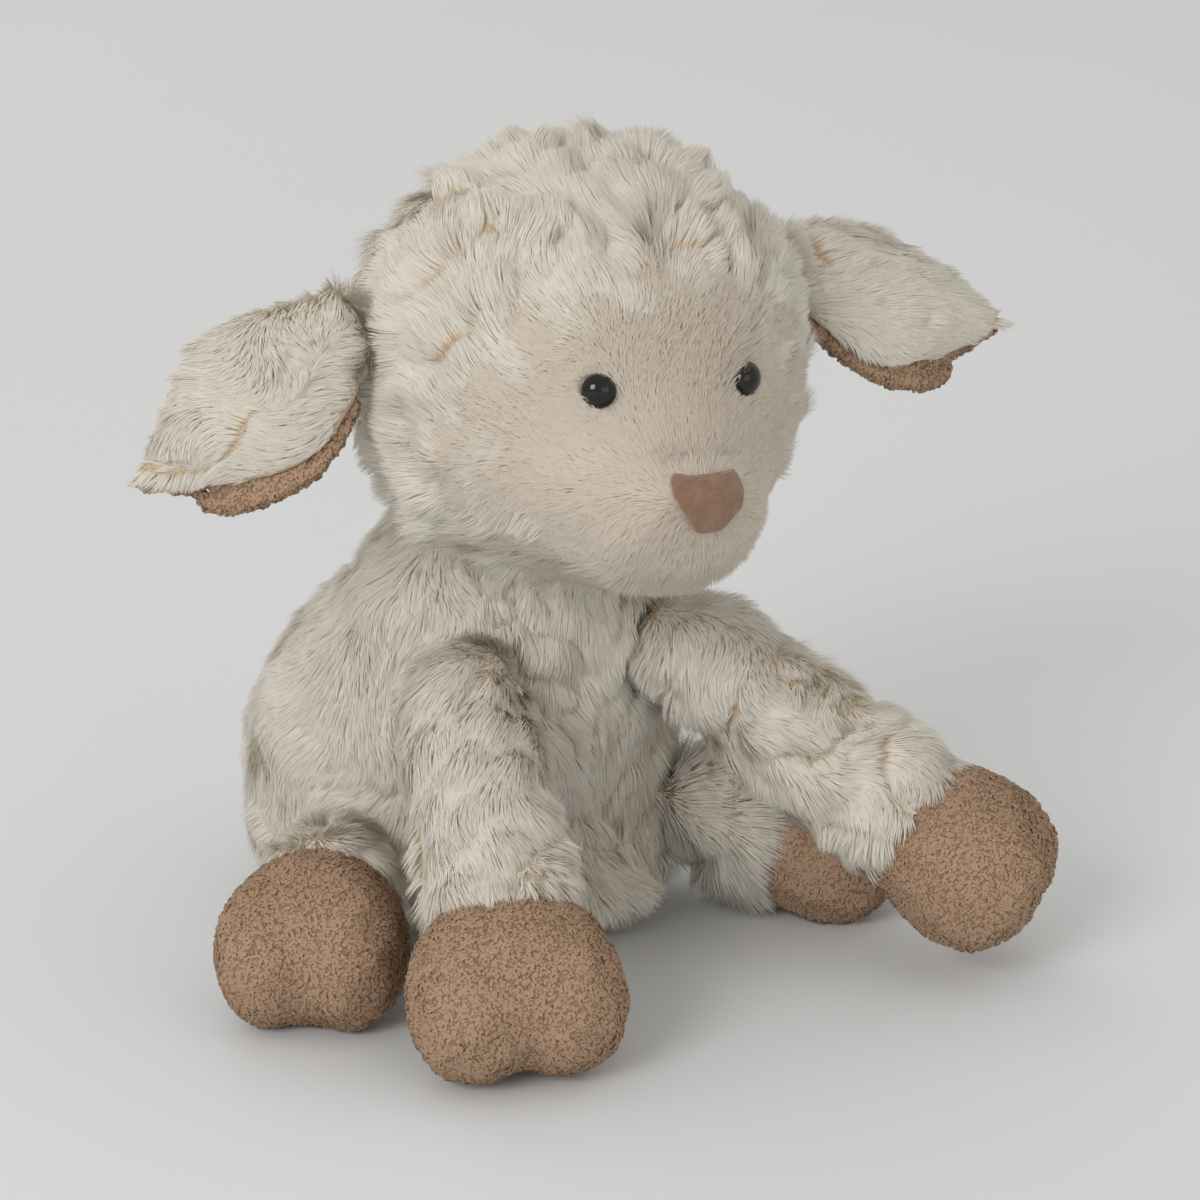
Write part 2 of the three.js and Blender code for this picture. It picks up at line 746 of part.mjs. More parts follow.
/** A cupped, drooping leaf between two levels, given as functions of the shares along and across it. */
function leaf(bottom, top, columns = leafColumns()) {
  const { along } = leafFacets;
  const across = columns.length - 1;
  const points = [];
  for (const level of [bottom, top]) {
    for (let i = 0; i <= along; i++) {
      for (const column of columns) points.push(...leafPoint(i / along, column, level));
    }
  }
  const index = [];
  const low = (i, j) => i * (across + 1) + j;
  const high = (i, j) => (along + 1) * (across + 1) + low(i, j);
  const quad = (a, b, c, d) => index.push(a, b, c, a, c, d);
  for (let i = 0; i < along; i++) {
    quad(low(i, 0), low(i + 1, 0), high(i + 1, 0), high(i, 0));
    quad(low(i + 1, across), low(i, across), high(i, across), high(i + 1, across));
    for (let j = 0; j < across; j++) {
      quad(low(i, j), low(i, j + 1), low(i + 1, j + 1), low(i + 1, j));
      quad(high(i, j), high(i + 1, j), high(i + 1, j + 1), high(i, j + 1));
    }
  }
  for (let j = 0; j < across; j++) {
    quad(low(0, j + 1), low(0, j), high(0, j), high(0, j + 1));
    quad(low(along, j), low(along, j + 1), high(along, j + 1), high(along, j));
  }
  const sheet = new THREE.BufferGeometry().setIndex(index);
  return solidOf(sheet.setAttribute("position", new THREE.Float32BufferAttribute(points, 3)));
}

/** An ear's terry lining below a level, rolled out past the edge that hangs in front. */
function liningLeaf(under, side) {
  const columns = [...leafColumns(), -2 * side].sort((a, b) => a - b);
  const bottom = (out, across) => under - (Math.abs(across) > 1 ? ear.lipHeight : pile.terry);
  return leaf(bottom, () => under, columns);
}

/** Adds an ear's long-pile back and its terry lining. */
function addEar(name, group, { side }) {
  const between = -ear.rootHeight / 2 + pile.terry + seam;
  const under = between - seam;
  const fur = (share, across) =>
    between + ear.furHeight * (1 - ear.edgeShare * across * across - ear.tipShare * share * share);
  const back = leaf(() => between, fur);
  const inner = liningLeaf(under, side);
  const hinge = hingeOf(group);
  const past = sweptPast(headSolid(seam), hinge, flop);
  const place = group.matrixWorld;
  const rooted = moved(back, place).subtract(past).add(earRoot(group, 0));
  add(group, `${name}_back`, rooted, wool());
  const lining = moved(inner, place).subtract(past).subtract(earRoot(group, seam));
  add(group, `${name}_lining`, lining, terry());
}

/** Adds the head's hood, face, filling, eyes, washers, nose and mouth. */
function addHead(groups) {
  const inside = -pile.wool;
  const room = headSolid(inside);
  const neckRoom = socket(neckPivot, neckRadius, neckFacets);
  let hood = headSolid(0).subtract(room).subtract(faceColumn(seam)).subtract(neckRoom);
  let panel = headSolid(pile.face - pile.wool).subtract(room).intersect(faceColumn(0));
  const behindFace = headSolid(inside - seam);
  let stuffing = behindFace.subtract(neckRoom);
  for (const [name, side] of [["left", 1], ["right", -1]]) {
    const place = faceMatrix(side * eye.round, eye.up, -eye.sink);
    add(headGroup, `${name}_eye`, moved(eyeButton(0), place), gloss());
    const ring = moved(washerDisc(0, eye.shank / 2 + seam), place).intersect(behindFace);
    add(headGroup, `${name}_eye_washer`, ring, plastic());
    panel = panel.subtract(moved(eyeButton(seam), place));
    stuffing = stuffing.subtract(moved(eyeButton(seam), place));
    stuffing = stuffing.subtract(moved(washerDisc(seam, 0), place));
    hood = hood.subtract(earRoot(groups[name], slack));
  }
  const pad = moved(noseColumn(), faceMatrix(0, nose.up, 0))
    .intersect(headSolid(pile.face - pile.wool + pile.velour))
    .subtract(headSolid(pile.face - pile.wool + seam));
  add(headGroup, "head_hood", hood, wool());
  add(headGroup, "face_panel", panel, shortPile());
  add(headGroup, "head_fill", stuffing, filling());
  add(headGroup, "nose_pad", pad, velour());
  add(headGroup, "mouth_thread", mouthThread(), thread());
}

const earGroups = { left: earGroup(ears.left), right: earGroup(ears.right) };
addHead(earGroups);
addEar("left_ear", earGroups.left, ears.left);
addEar("right_ear", earGroups.right, ears.right);

export default lamb;
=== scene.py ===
import logging
import math
from dataclasses import dataclass, field, fields
from enum import Enum, IntEnum
from typing import Callable

import bpy
import numpy as np
from mathutils import Matrix, Vector
from mathutils.bvhtree import BVHTree


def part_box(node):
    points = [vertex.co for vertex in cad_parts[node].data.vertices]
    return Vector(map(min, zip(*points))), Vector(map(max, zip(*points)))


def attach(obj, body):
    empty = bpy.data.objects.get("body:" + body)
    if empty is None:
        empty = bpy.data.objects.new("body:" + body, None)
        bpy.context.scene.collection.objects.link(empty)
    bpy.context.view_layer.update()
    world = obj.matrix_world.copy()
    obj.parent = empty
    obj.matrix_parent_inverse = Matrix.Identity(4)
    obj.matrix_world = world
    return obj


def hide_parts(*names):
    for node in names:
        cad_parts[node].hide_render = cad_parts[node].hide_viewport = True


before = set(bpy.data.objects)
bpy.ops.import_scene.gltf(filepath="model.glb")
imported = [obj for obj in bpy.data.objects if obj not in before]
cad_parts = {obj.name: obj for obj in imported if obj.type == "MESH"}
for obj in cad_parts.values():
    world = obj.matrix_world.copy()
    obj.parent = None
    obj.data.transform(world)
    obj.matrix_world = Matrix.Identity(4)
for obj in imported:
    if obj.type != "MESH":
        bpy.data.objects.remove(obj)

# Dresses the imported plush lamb: backing cloth, long and short pile grown as real fibres, terry, velour and eyes.

log = logging.getLogger("plush_lamb")
Array = np.ndarray
Mesh = bpy.types.Mesh
NodeTree = bpy.types.NodeTree
Node = bpy.types.Node
Socket = bpy.types.NodeSocket
MM = 0.001
DOWN = np.array([0.0, 0.0, -1.0])
FLOOR = 0.0002
BAKE_MAP = "OFBake"
BLACK = (0.0, 0.0, 0.0, 1.0)
LEGS = ("left_foreleg", "right_foreleg", "left_hindleg", "right_hindleg")


# Small helpers


class Nearest(IntEnum):
    """What a search for the nearest place on a surface can give, by its number in the answer."""

    PLACE = 0
    NORMAL = 1
    DISTANCE = 3


def unit(vectors: Array) -> Array:
    """Scales each row to length one, and leaves a row of zeros as it is."""
    size = np.linalg.norm(vectors, axis=-1, keepdims=True)
    return vectors / np.maximum(size, 1e-12)


def along_cloth(vectors: Array, normals: Array) -> Array:
    """The part of each vector, or of one vector for all, that lies in the cloth with these unit normals."""
    vectors = np.broadcast_to(vectors, normals.shape)
    return vectors - np.sum(vectors * normals, axis=1, keepdims=True) * normals


def ease(value: Array, low: float, high: float) -> Array:
    """A smooth step from zero at low to one at high."""
    share = np.clip((value - low) / (high - low), 0, 1)
    return share * share * (3 - 2 * share)


def middle_of(name: str) -> Array:
    """The middle of a CAD node's box."""
    low, high = (np.array(corner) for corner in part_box(name))
    return (low + high) / 2


@dataclass(frozen=True)
class Waves:
    """A smooth random field in space whose hills are all about one size."""

    length: float
    seed: int
    count: int = 26
    spread: float = 0.3

    def at(self, points: Array) -> tuple[Array, Array]:
        """Reads the field.

        Args:
            points: where to read it, in metres.

        Returns:
            Its height, about one either way, and its slope times one wave over a turn.
        """
        rng = np.random.default_rng(self.seed)
        turn = 2 * math.pi / self.length
        heading = unit(rng.normal(size=(self.count, 3)))
        pace = turn * (1 + self.spread * rng.uniform(-1, 1, self.count))
        waves = (heading * pace[:, None]).astype(np.float32)
        phase = rng.uniform(0, 2 * math.pi, self.count).astype(np.float32)
        angle = points.astype(np.float32) @ waves.T + phase
        size = math.sqrt(2 / self.count)
        height = size * np.cos(angle).sum(axis=1)
        slope = -size * (np.sin(angle) @ waves) / turn
        return height, slope


@dataclass
class Surface:
    """A triangle mesh held as arrays, in metres."""

    verts: Array
    tris: Array
    trees: list = field(default_factory=list)

    @classmethod
    def of_nodes(cls, *names: str) -> "Surface":
        """Joins the meshes of CAD nodes.

        Args:
            names: the nodes.

        Returns:
            All their triangles in one surface.
        """
        parts = [cls.of_mesh(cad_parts[name].data) for name in names]
        starts = np.cumsum([0] + [len(part.verts) for part in parts]).tolist()
        tris = [part.tris + start for part, start in zip(parts, starts)]
        return cls(np.concatenate([part.verts for part in parts]), np.concatenate(tris))

    @classmethod
    def of_mesh(cls, mesh: Mesh) -> "Surface":
        """Reads a Blender mesh.

        Args:
            mesh: the mesh.

        Returns:
            Its faces as triangles.
        """
        mesh.calc_loop_triangles()
        verts = np.empty(len(mesh.vertices) * 3, np.float32)
        mesh.vertices.foreach_get("co", verts)
        tris = np.empty(len(mesh.loop_triangles) * 3, np.int32)
        mesh.loop_triangles.foreach_get("vertices", tris)
        return cls(verts.reshape(-1, 3).astype(float), tris.reshape(-1, 3))

    def mesh(self) -> Mesh:
        """Writes the surface as a smooth Blender mesh."""
        return new_mesh(self.verts, self.tris)

    def remeshed(self, voxel: float) -> "Surface":
        """Wraps the surface in an even closed skin, and keeps its largest piece.

        Args:
            voxel: the skin's grid, in metres.

        Returns:
            The skin.
        """
        plain = self.mesh()
        holder = bpy.data.objects.new("holder", plain)
        bpy.context.scene.collection.objects.link(holder)
        wrap = holder.modifiers.new("wrap", "REMESH")
        wrap.mode, wrap.voxel_size, wrap.adaptivity = "VOXEL", voxel, 0
        graph = bpy.context.evaluated_depsgraph_get()
        graph.update()
        wrapped = bpy.data.meshes.new_from_object(holder.evaluated_get(graph))
        skin = Surface.of_mesh(wrapped)
        bpy.data.objects.remove(holder)
        bpy.data.meshes.remove(plain)
        bpy.data.meshes.remove(wrapped)
        return skin.largest()

    def largest(self) -> "Surface":
        """Finds the connected piece with the longest reach.

        Returns:
            That piece.
        """
        label = np.arange(len(self.verts))
        start, end = self.edges().T
        while True:
            low = np.minimum(label[start], label[end])
            fresh = label.copy()
            np.minimum.at(fresh, start, low)
            np.minimum.at(fresh, end, low)
            fresh = fresh[fresh]
            if np.array_equal(fresh, label):
                break
            label = fresh
        best = max(np.unique(label), key=lambda k: np.ptp(self.verts[label == k], axis=0).sum())
        return self.kept(label[self.tris[:, 0]] == best)

    def kept(self, faces: Array) -> "Surface":
        """Keeps some of the triangles and the points that they use.

        Args:
            faces: true for a triangle that stays.

        Returns:
            The smaller surface.
        """
        tris = self.tris[faces]
        used, place = np.unique(tris, return_inverse=True)
        return Surface(self.verts[used], place.reshape(-1, 3).astype(np.int32))

    def edges(self) -> Array:
        """The triangles' sides as pairs of points: all the first sides, then the second and the third."""
        return np.concatenate([self.tris[:, pair] for pair in ([0, 1], [1, 2], [2, 0])])

    def face_normals(self) -> Array:
        """The triangles' normals, each as long as twice its area."""
        a, b, c = (self.verts[self.tris[:, k]] for k in range(3))
        return np.cross(b - a, c - a)

    def normals(self) -> Array:
        """Adds up the normals of the triangles round each point.

        Returns:
            Unit normals at the points.
        """
        faces = self.face_normals()
        total = np.zeros_like(self.verts)
        for corner in range(3):
            for axis in range(3):
                total[:, axis] += np.bincount(self.tris[:, corner], faces[:, axis], len(self.verts))
        return unit(total)

    def averaged(self, values: Array) -> Array:
        """Takes the mean of each point's neighbours.

        Args:
            values: one row a point.

        Returns:
            The means, one row a point.
        """
        start, end = self.edges().T
        count = np.bincount(start, minlength=len(self.verts))
        total = [np.bincount(start, column[end], len(self.verts)) for column in values.T]
        return np.stack(total, 1) / np.maximum(count, 1)[:, None]

    def smoothed(self, rounds: int, share: float = 0.5) -> "Surface":
        """Draws each point towards its neighbours.

        Args:
            rounds: how many times.
            share: how far each time.

        Returns:
            The smoother surface.
        """
        verts = self.verts
        for _ in range(rounds):
            verts = verts + share * (self.averaged(verts) - verts)
        return Surface(verts, self.tris)

    def moved(self, rise: Array) -> "Surface":
        """Moves the points out along their normals by rise, in metres."""
        return Surface(self.verts + self.normals() * np.reshape(rise, (-1, 1)), self.tris)

    def subdivided(self) -> "Surface":
        """Splits each triangle in four.

        Returns:
            The finer surface.
        """
        unique, place = np.unique(np.sort(self.edges(), 1), axis=0, return_inverse=True)
        middle = self.verts[unique].mean(axis=1)
        ab, bc, ca = place.reshape(3, -1) + len(self.verts)
        a, b, c = self.tris.T
        tris = np.concatenate([np.stack(row, 1) for row in ((a, ab, ca), (ab, b, bc), (ca, bc, c), (ab, bc, ca))])
        return Surface(np.concatenate([self.verts, middle]), tris.astype(np.int32))

    def tree(self) -> BVHTree:
        """A search tree over the triangles, built once.

        Returns:
            The tree.
        """
        if not self.trees:
            self.trees.append(BVHTree.FromPolygons(self.verts.tolist(), self.tris.tolist()))
        return self.trees[0]

    def height_of(self, points: Array) -> Array:
        """Measures how far points stand off the surface.

        Args:
            points: where to measure.

        Returns:
            Distances in metres, below zero inside.
        """
        find = self.tree().find_nearest
        out = np.empty(len(points))
        for i, point in enumerate(points.tolist()):
            place, normal, _, gap = find(point)
            out[i] = gap if (Vector(point) - place).dot(normal) >= 0 else -gap
        return out

    def nearest(self, points: Array, what: Nearest) -> Array:
        """What the surface has closest to each point: its place, its normal or its distance."""
        find = self.tree().find_nearest
        return np.array([find(point)[what] for point in points.tolist()])

    def scattered(self, density: float, seed: int, values: Array | None = None) -> tuple[Array, ...]:
        """Draws random places on the surface.

        Args:
            density: places to a square metre.
            seed: of the random draws.
            values: one number a point of the surface, read at each place too; zeros if there is none.

        Returns:
            The places, their unit normals and the values there.
        """
        rng = np.random.default_rng(seed)
        area = np.linalg.norm(self.face_normals(), axis=1) / 2
        count = int(area.sum() * density)
        pick = rng.choice(len(self.tris), count, p=area / area.sum())
        a, b = rng.random((2, count, 1))
        fold = (a + b) > 1
        a, b = np.where(fold, 1 - a, a), np.where(fold, 1 - b, b)
        values = np.zeros(len(self.verts)) if values is None else values
        points, normals, read = (
            sum(share * known[self.tris[pick, k]] for k, share in enumerate((1 - a - b, a, b)))
            for known in (self.verts, self.normals(), values[:, None])
        )
        return points, unit(normals), read[:, 0]


def new_mesh(verts: Array, faces: Array) -> Mesh:
    """Makes a smooth mesh of triangles.

    Args:
        verts: its points.
        faces: three point numbers a row.

    Returns:
        The mesh.
    """
    mesh = bpy.data.meshes.new("cloth")
    mesh.vertices.add(len(verts))
    mesh.vertices.foreach_set("co", np.asarray(verts, np.float32).ravel())
    mesh.loops.add(faces.size)
    mesh.loops.foreach_set("vertex_index", np.asarray(faces, np.int32).ravel())
    mesh.polygons.add(len(faces))
    mesh.polygons.foreach_set("loop_start", np.arange(0, faces.size, 3, dtype=np.int32))
    mesh.update(calc_edges=True)
    mesh.polygons.foreach_set("use_smooth", np.ones(len(faces), bool))
    mesh.update()
    return mesh


def fibre_mesh(points: Array, strip: tuple, turned: Array, tone: Array, along: tuple, normals: Array) -> Mesh:
    """Makes a mesh of many fibres of one build, with its bake map and soft shading normals.

    Args:
        points: the points of each fibre.
        strip: one fibre's triangles.
        turned: true for a fibre whose triangles have to be turned over.
        tone: each fibre's tone, random and with painted light and shade at creases, nubs and hollows, kept across the
            map.
        along: how far along the fibre each of its points is, kept along the map.
        normals: the shading normals at the points.

    Returns:
        The mesh.
    """
    count, rows = points.shape[:2]
    faces = np.array(strip)[None] + (np.arange(count) * rows)[:, None, None]
    faces[turned] = faces[turned][:, :, ::-1]
    mesh = new_mesh(points.reshape(-1, 3), faces.reshape(-1, 3))
    place = np.stack([np.repeat(tone, rows), np.tile(along, count)], 1)[faces.ravel()]
    layer = mesh.uv_layers.new(name=BAKE_MAP)
    layer.uv.foreach_set("vector", place.astype(np.float32).ravel())
    mesh.normals_split_custom_set_from_vertices(normals.reshape(-1, 3).astype(np.float32))
    mesh.update()
    return mesh


# Finishes


class Tone(Enum):
    """Base colours of the lamb's cloths, as linear red, green and blue."""

    CREAM = (0.645, 0.61, 0.548)
    CREAM_MIDDLE = (0.645, 0.59, 0.50)
    CREAM_ROOT = (0.54, 0.41, 0.285)
    FACE = (0.61, 0.548, 0.468)
    FACE_MIDDLE = (0.59, 0.52, 0.437)
    FACE_ROOT = (0.47, 0.375, 0.285)
    BACKING = (0.55, 0.445, 0.335)
    TERRY_LIGHT = (0.34, 0.22, 0.142)
    TERRY_TIP = (0.39, 0.262, 0.175)
    # Darker tone between the terry's loops: painted shade there, and the random flecks.
    TERRY_BACK = (0.26, 0.16, 0.098)
    TERRY_DARK = (0.165, 0.098, 0.058)
    NOSE_LIGHT = (0.285, 0.165, 0.102)
    NOSE_DARK = (0.195, 0.108, 0.066)
    EYE = (0.006, 0.005, 0.005)
    WASHER = (0.62, 0.61, 0.58)
    THREAD = (0.19, 0.115, 0.075)
    STUFFING = (0.80, 0.79, 0.76)
    POUCH = (0.55, 0.53, 0.48)
    PAPER = (0.665, 0.672, 0.668)
    FLOOR_PAPER = (0.745, 0.765, 0.785)

    def rgba(self, share: float = 1.0) -> tuple[float, float, float, float]:
        """The colour with full cover, or a share of it."""
        return (*(min(1.0, share * part) for part in self.value), 1.0)


def feed(node: Node, inputs: dict) -> None:
    """Gives a node's inputs what they read.

    Args:
        node: the node.
        inputs: a socket or a value for each input, by its name or number.
    """
    for slot, value in inputs.items():
        if isinstance(value, Socket):
            node.id_data.links.new(value, node.inputs[slot])
        else:
            node.inputs[slot].default_value = value


def add_node(tree: NodeTree, kind: str, inputs: dict | None = None, **settings: object) -> Node:
    """Adds a shader node to a tree.

    Args:
        tree: the tree.
        kind: the node's type without its first word.
        inputs: a socket or a value for each input, by its name or number.
        settings: the node's own settings.

    Returns:
        The node.
    """
    node = tree.nodes.new("ShaderNode" + kind)
    for name, value in settings.items():
        setattr(node, name, value)
    feed(node, inputs or {})
    return node


def new_material(name: str) -> tuple[bpy.types.Material, NodeTree, Node]:
    """Starts a node material.

    Args:
        name: the material's name.

    Returns:
        The material, its node tree and its Principled shader.
    """
    material = bpy.data.materials.new(name)
    material.use_nodes = True
    return material, material.node_tree, material.node_tree.nodes["Principled BSDF"]


def new_group(name: str, inputs: dict, outputs: dict) -> tuple[NodeTree, object, Node]:
    """Starts a shader node group.

    Args:
        name: the group's name.
        inputs: socket names and their starting values.
        outputs: socket names and one value of their kind.

    Returns:
        The group, the sockets that carry its inputs and its output node.
    """
    group = bpy.data.node_groups.new(name, "ShaderNodeTree")
    for side, sockets in (("INPUT", inputs), ("OUTPUT", outputs)):
        for socket, value in sockets.items():
            kind = "NodeSocketColor" if isinstance(value, tuple) else "NodeSocketFloat"
            made = group.interface.new_socket(name=socket, in_out=side, socket_type=kind)
            if side == "INPUT":
                made.default_value = value
    return group, group.nodes.new("NodeGroupInput").outputs, group.nodes.new("NodeGroupOutput")


def mix_colours(tree: NodeTree, share: object, low: object, high: object) -> Socket:
    """The mix of two sockets or colours, low where the share is zero and high where it is one."""
    inputs = {0: share, 6: low, 7: high}
    return add_node(tree, "Mix", inputs, data_type="RGBA", clamp_factor=True).outputs[2]


def ranged(tree: NodeTree, value: Socket, low: float, high: float) -> Socket:
    """A smooth step that leaves zero where the socket's value is low and reaches one where it is high."""
    inputs = {"Value": value, "From Min": low, "From Max": high}
    return add_node(tree, "MapRange", inputs, interpolation_type="SMOOTHSTEP").outputs["Result"]


def noise_of(tree: NodeTree, scale: object, detail: float) -> Socket:
    """Object-space noise, its scale a socket or a number of hills to a metre, with so many finer layers."""
    inputs = {"Vector": add_node(tree, "TexCoord").outputs["Object"], "Scale": scale, "Detail": detail}
    return add_node(tree, "TexNoise", inputs).outputs["Fac"]


def pile_colour_group() -> NodeTree:
    """Colours a fibre, brown at the root and pale at the tip, the brown partly the fibre's own and partly painted warm
    shade deep in the pile. The fibre's map holds its tone across, lowered as painted shade at creases, and its length
    along.

    Returns:
        The node group.
    """
    tones = {"Root": Tone.CREAM_ROOT.rgba(), "Middle": Tone.CREAM_MIDDLE.rgba(), "Tip": Tone.CREAM.rgba()}
    group, given, put = new_group("fibre colour", {**tones, "Depth": 0.45}, {"Colour": BLACK})
    place = add_node(group, "UVMap", uv_map=BAKE_MAP).outputs["UV"]
    split = add_node(group, "SeparateXYZ", {0: place}).outputs
    inputs = {0: split["X"], 1: given["Depth"], 2: split["Y"]}
    lift = add_node(group, "Math", inputs, operation="MULTIPLY_ADD").outputs[0]
    low = mix_colours(group, ranged(group, lift, 0.3, 0.62), given["Root"], given["Middle"])
    feed(put, {"Colour": mix_colours(group, ranged(group, lift, 0.5, 1.1), low, given["Tip"])})
    return group


def nub_group() -> NodeTree:
    """Small round loops of terry or the nap of velour: a height, and a colour that is darker between them as painted
    shade, with random patches and flecks.

    Returns:
        The node group.
    """
    inputs = {"Light": Tone.TERRY_LIGHT.rgba(), "Dark": Tone.TERRY_DARK.rgba(), "Scale": 900.0, "Patches": 130.0}
    group, given, put = new_group("looped nap", inputs, {"Colour": BLACK, "Height": 0.0})
    place = add_node(group, "TexCoord").outputs["Object"]
    cells = add_node(group, "TexVoronoi", {"Vector": place, "Scale": given["Scale"]})
    between = ranged(group, cells.outputs["Distance"], 0.12, 0.75)
    patches = ranged(group, noise_of(group, given["Patches"], 4.0), 0.35, 0.75)
    flecks = ranged(group, noise_of(group, given["Scale"], 2.0), 0.45, 0.8)
    # Painted shade: darker between the loops, where the nap dips.
    colour = mix_colours(group, between, given["Light"], given["Dark"])
    colour = mix_colours(group, patches, colour, given["Light"])
    colour = mix_colours(group, flecks, colour, given["Dark"])
    height = add_node(group, "Math", {0: 1.0, 1: between}, operation="SUBTRACT").outputs[0]
    feed(put, {"Colour": colour, "Height": height})
    return group


@dataclass
class Groups:
    """The node groups that more than one finish uses."""

    fibre: NodeTree
    nap: NodeTree


@dataclass(frozen=True)
class FibreFinish:
    """Polyester pile fibres, pale at the tip and brown at the root, the brown partly painted shade deep in the pile."""

    name: str
    root: Tone
    middle: Tone
    tip: Tone
    depth: float = 0.7
    roughness: float = 0.75
    shine: float = 0.15

    def build(self, groups: Groups) -> bpy.types.Material:
        """Makes the material.

        Args:
            groups: the shared node groups.

        Returns:
            The material.
        """
        material, tree, shader = new_material(self.name)
        inputs = {"Root": self.root.rgba(), "Middle": self.middle.rgba(), "Tip": self.tip.rgba(), "Depth": self.depth}
        colour = add_node(tree, "Group", inputs, node_tree=groups.fibre).outputs["Colour"]
        feed(shader, {"Base Color": colour, "Roughness": self.roughness, "Specular IOR Level": self.shine})
        through = add_node(tree, "BsdfTranslucent", {"Color": colour})
        side = add_node(tree, "NewGeometry").outputs["Backfacing"]
        mix = add_node(tree, "MixShader", {0: side, 1: shader.outputs[0], 2: through.outputs[0]})
        feed(tree.nodes["Material Output"], {"Surface": mix.outputs[0]})
        return material


@dataclass(frozen=True)
class NapFinish:
    """Terry or velour with a close nap of its own colour, painted darker between the nubs as shade."""

    name: str
    light: Tone
    dark: Tone
    scale: float
    patches: float
    bump: float
    roughness: float = 0.9
    sheen: float = 0.15
    shine: float = 0.2
    strength: float = 0.8

    def build(self, groups: Groups) -> bpy.types.Material:
        """Makes the material.

        Args:
            groups: the shared node groups.

        Returns:
            The material.
        """
        material, tree, shader = new_material(self.name)
        inputs = {"Light": self.light.rgba(), "Dark": self.dark.rgba(), "Scale": self.scale, "Patches": self.patches}
        nap = add_node(tree, "Group", inputs, node_tree=groups.nap).outputs
        raised = add_node(tree, "Bump", {"Height": nap["Height"], "Distance": self.bump, "Strength": self.strength})
        feed(shader, {"Base Color": nap["Colour"], "Normal": raised.outputs["Normal"]})
        feed(shader, {"Roughness": self.roughness, "Sheen Weight": self.sheen, "Specular IOR Level": self.shine})
        return material


@dataclass(frozen=True)
class GlossFinish:
    """Hard polished plastic with faint handling marks."""

    name: str
    tone: Tone
    roughness: float
    index: float = 1.33
    marks: float = 900.0
    dulled: float = 1.6
    paled: float = 1.5

    def build(self, groups: Groups) -> bpy.types.Material:
        """Makes the material.

        Args:
            groups: the shared node groups, which it doesn't need.

        Returns:
            The material.
        """
        material, tree, shader = new_material(self.name)
        worn = ranged(tree, noise_of(tree, self.marks, 5.0), 0.2, 0.9)
        inputs = {"Value": worn, "To Min": self.roughness, "To Max": self.roughness * self.dulled}
        dull = add_node(tree, "MapRange", inputs).outputs["Result"]
        colour = mix_colours(tree, worn, self.tone.rgba(), self.tone.rgba(self.paled))
        feed(shader, {"Roughness": dull, "Base Color": colour, "IOR": self.index})
        return material


@dataclass
class Wardrobe:
    """Every finish of the lamb, built once."""

    groups: Groups
    made: dict = field(default_factory=dict)

    FINISHES = (
        FibreFinish("wool fibre", Tone.CREAM_ROOT, Tone.CREAM_MIDDLE, Tone.CREAM),
        FibreFinish("face fibre", Tone.FACE_ROOT, Tone.FACE_MIDDLE, Tone.FACE, 0.6),
        NapFinish("backing cloth", Tone.BACKING, Tone.CREAM_ROOT, 1400.0, 60.0, 0.0004),
        NapFinish("face cloth", Tone.FACE, Tone.FACE_ROOT, 1400.0, 60.0, 0.0003),
        NapFinish("tan terry", Tone.TERRY_LIGHT, Tone.TERRY_BACK, 850.0, 120.0, 0.0009),
        NapFinish("nose velour", Tone.NOSE_LIGHT, Tone.NOSE_DARK, 2600.0, 260.0, 0.0002, 0.8, 0.35),
        NapFinish("mouth thread", Tone.THREAD, Tone.TERRY_DARK, 2200.0, 300.0, 0.0002, 0.7, 0.1),
        NapFinish("stuffing", Tone.STUFFING, Tone.POUCH, 500.0, 60.0, 0.0008),
        NapFinish("pouch cloth", Tone.POUCH, Tone.CREAM_MIDDLE, 1500.0, 90.0, 0.0003),
        # Terry loops are darkest at their feet: painted shade where they meet the cloth.
        FibreFinish("terry loop", Tone.TERRY_DARK, Tone.TERRY_LIGHT, Tone.TERRY_TIP, 0.45),
        GlossFinish("eye gloss", Tone.EYE, 0.04, 1.45),
        GlossFinish("washer plastic", Tone.WASHER, 0.4),
    )

    def get(self, name: str) -> bpy.types.Material:
        """Finds a material, and makes it when it is first asked for.

        Args:
            name: the finish's name.

        Returns:
            The material.
        """
        if name not in self.made:
            finish = next(f for f in self.FINISHES if f.name == name)
            self.made[name] = finish.build(self.groups)
        return self.made[name]


# Pile


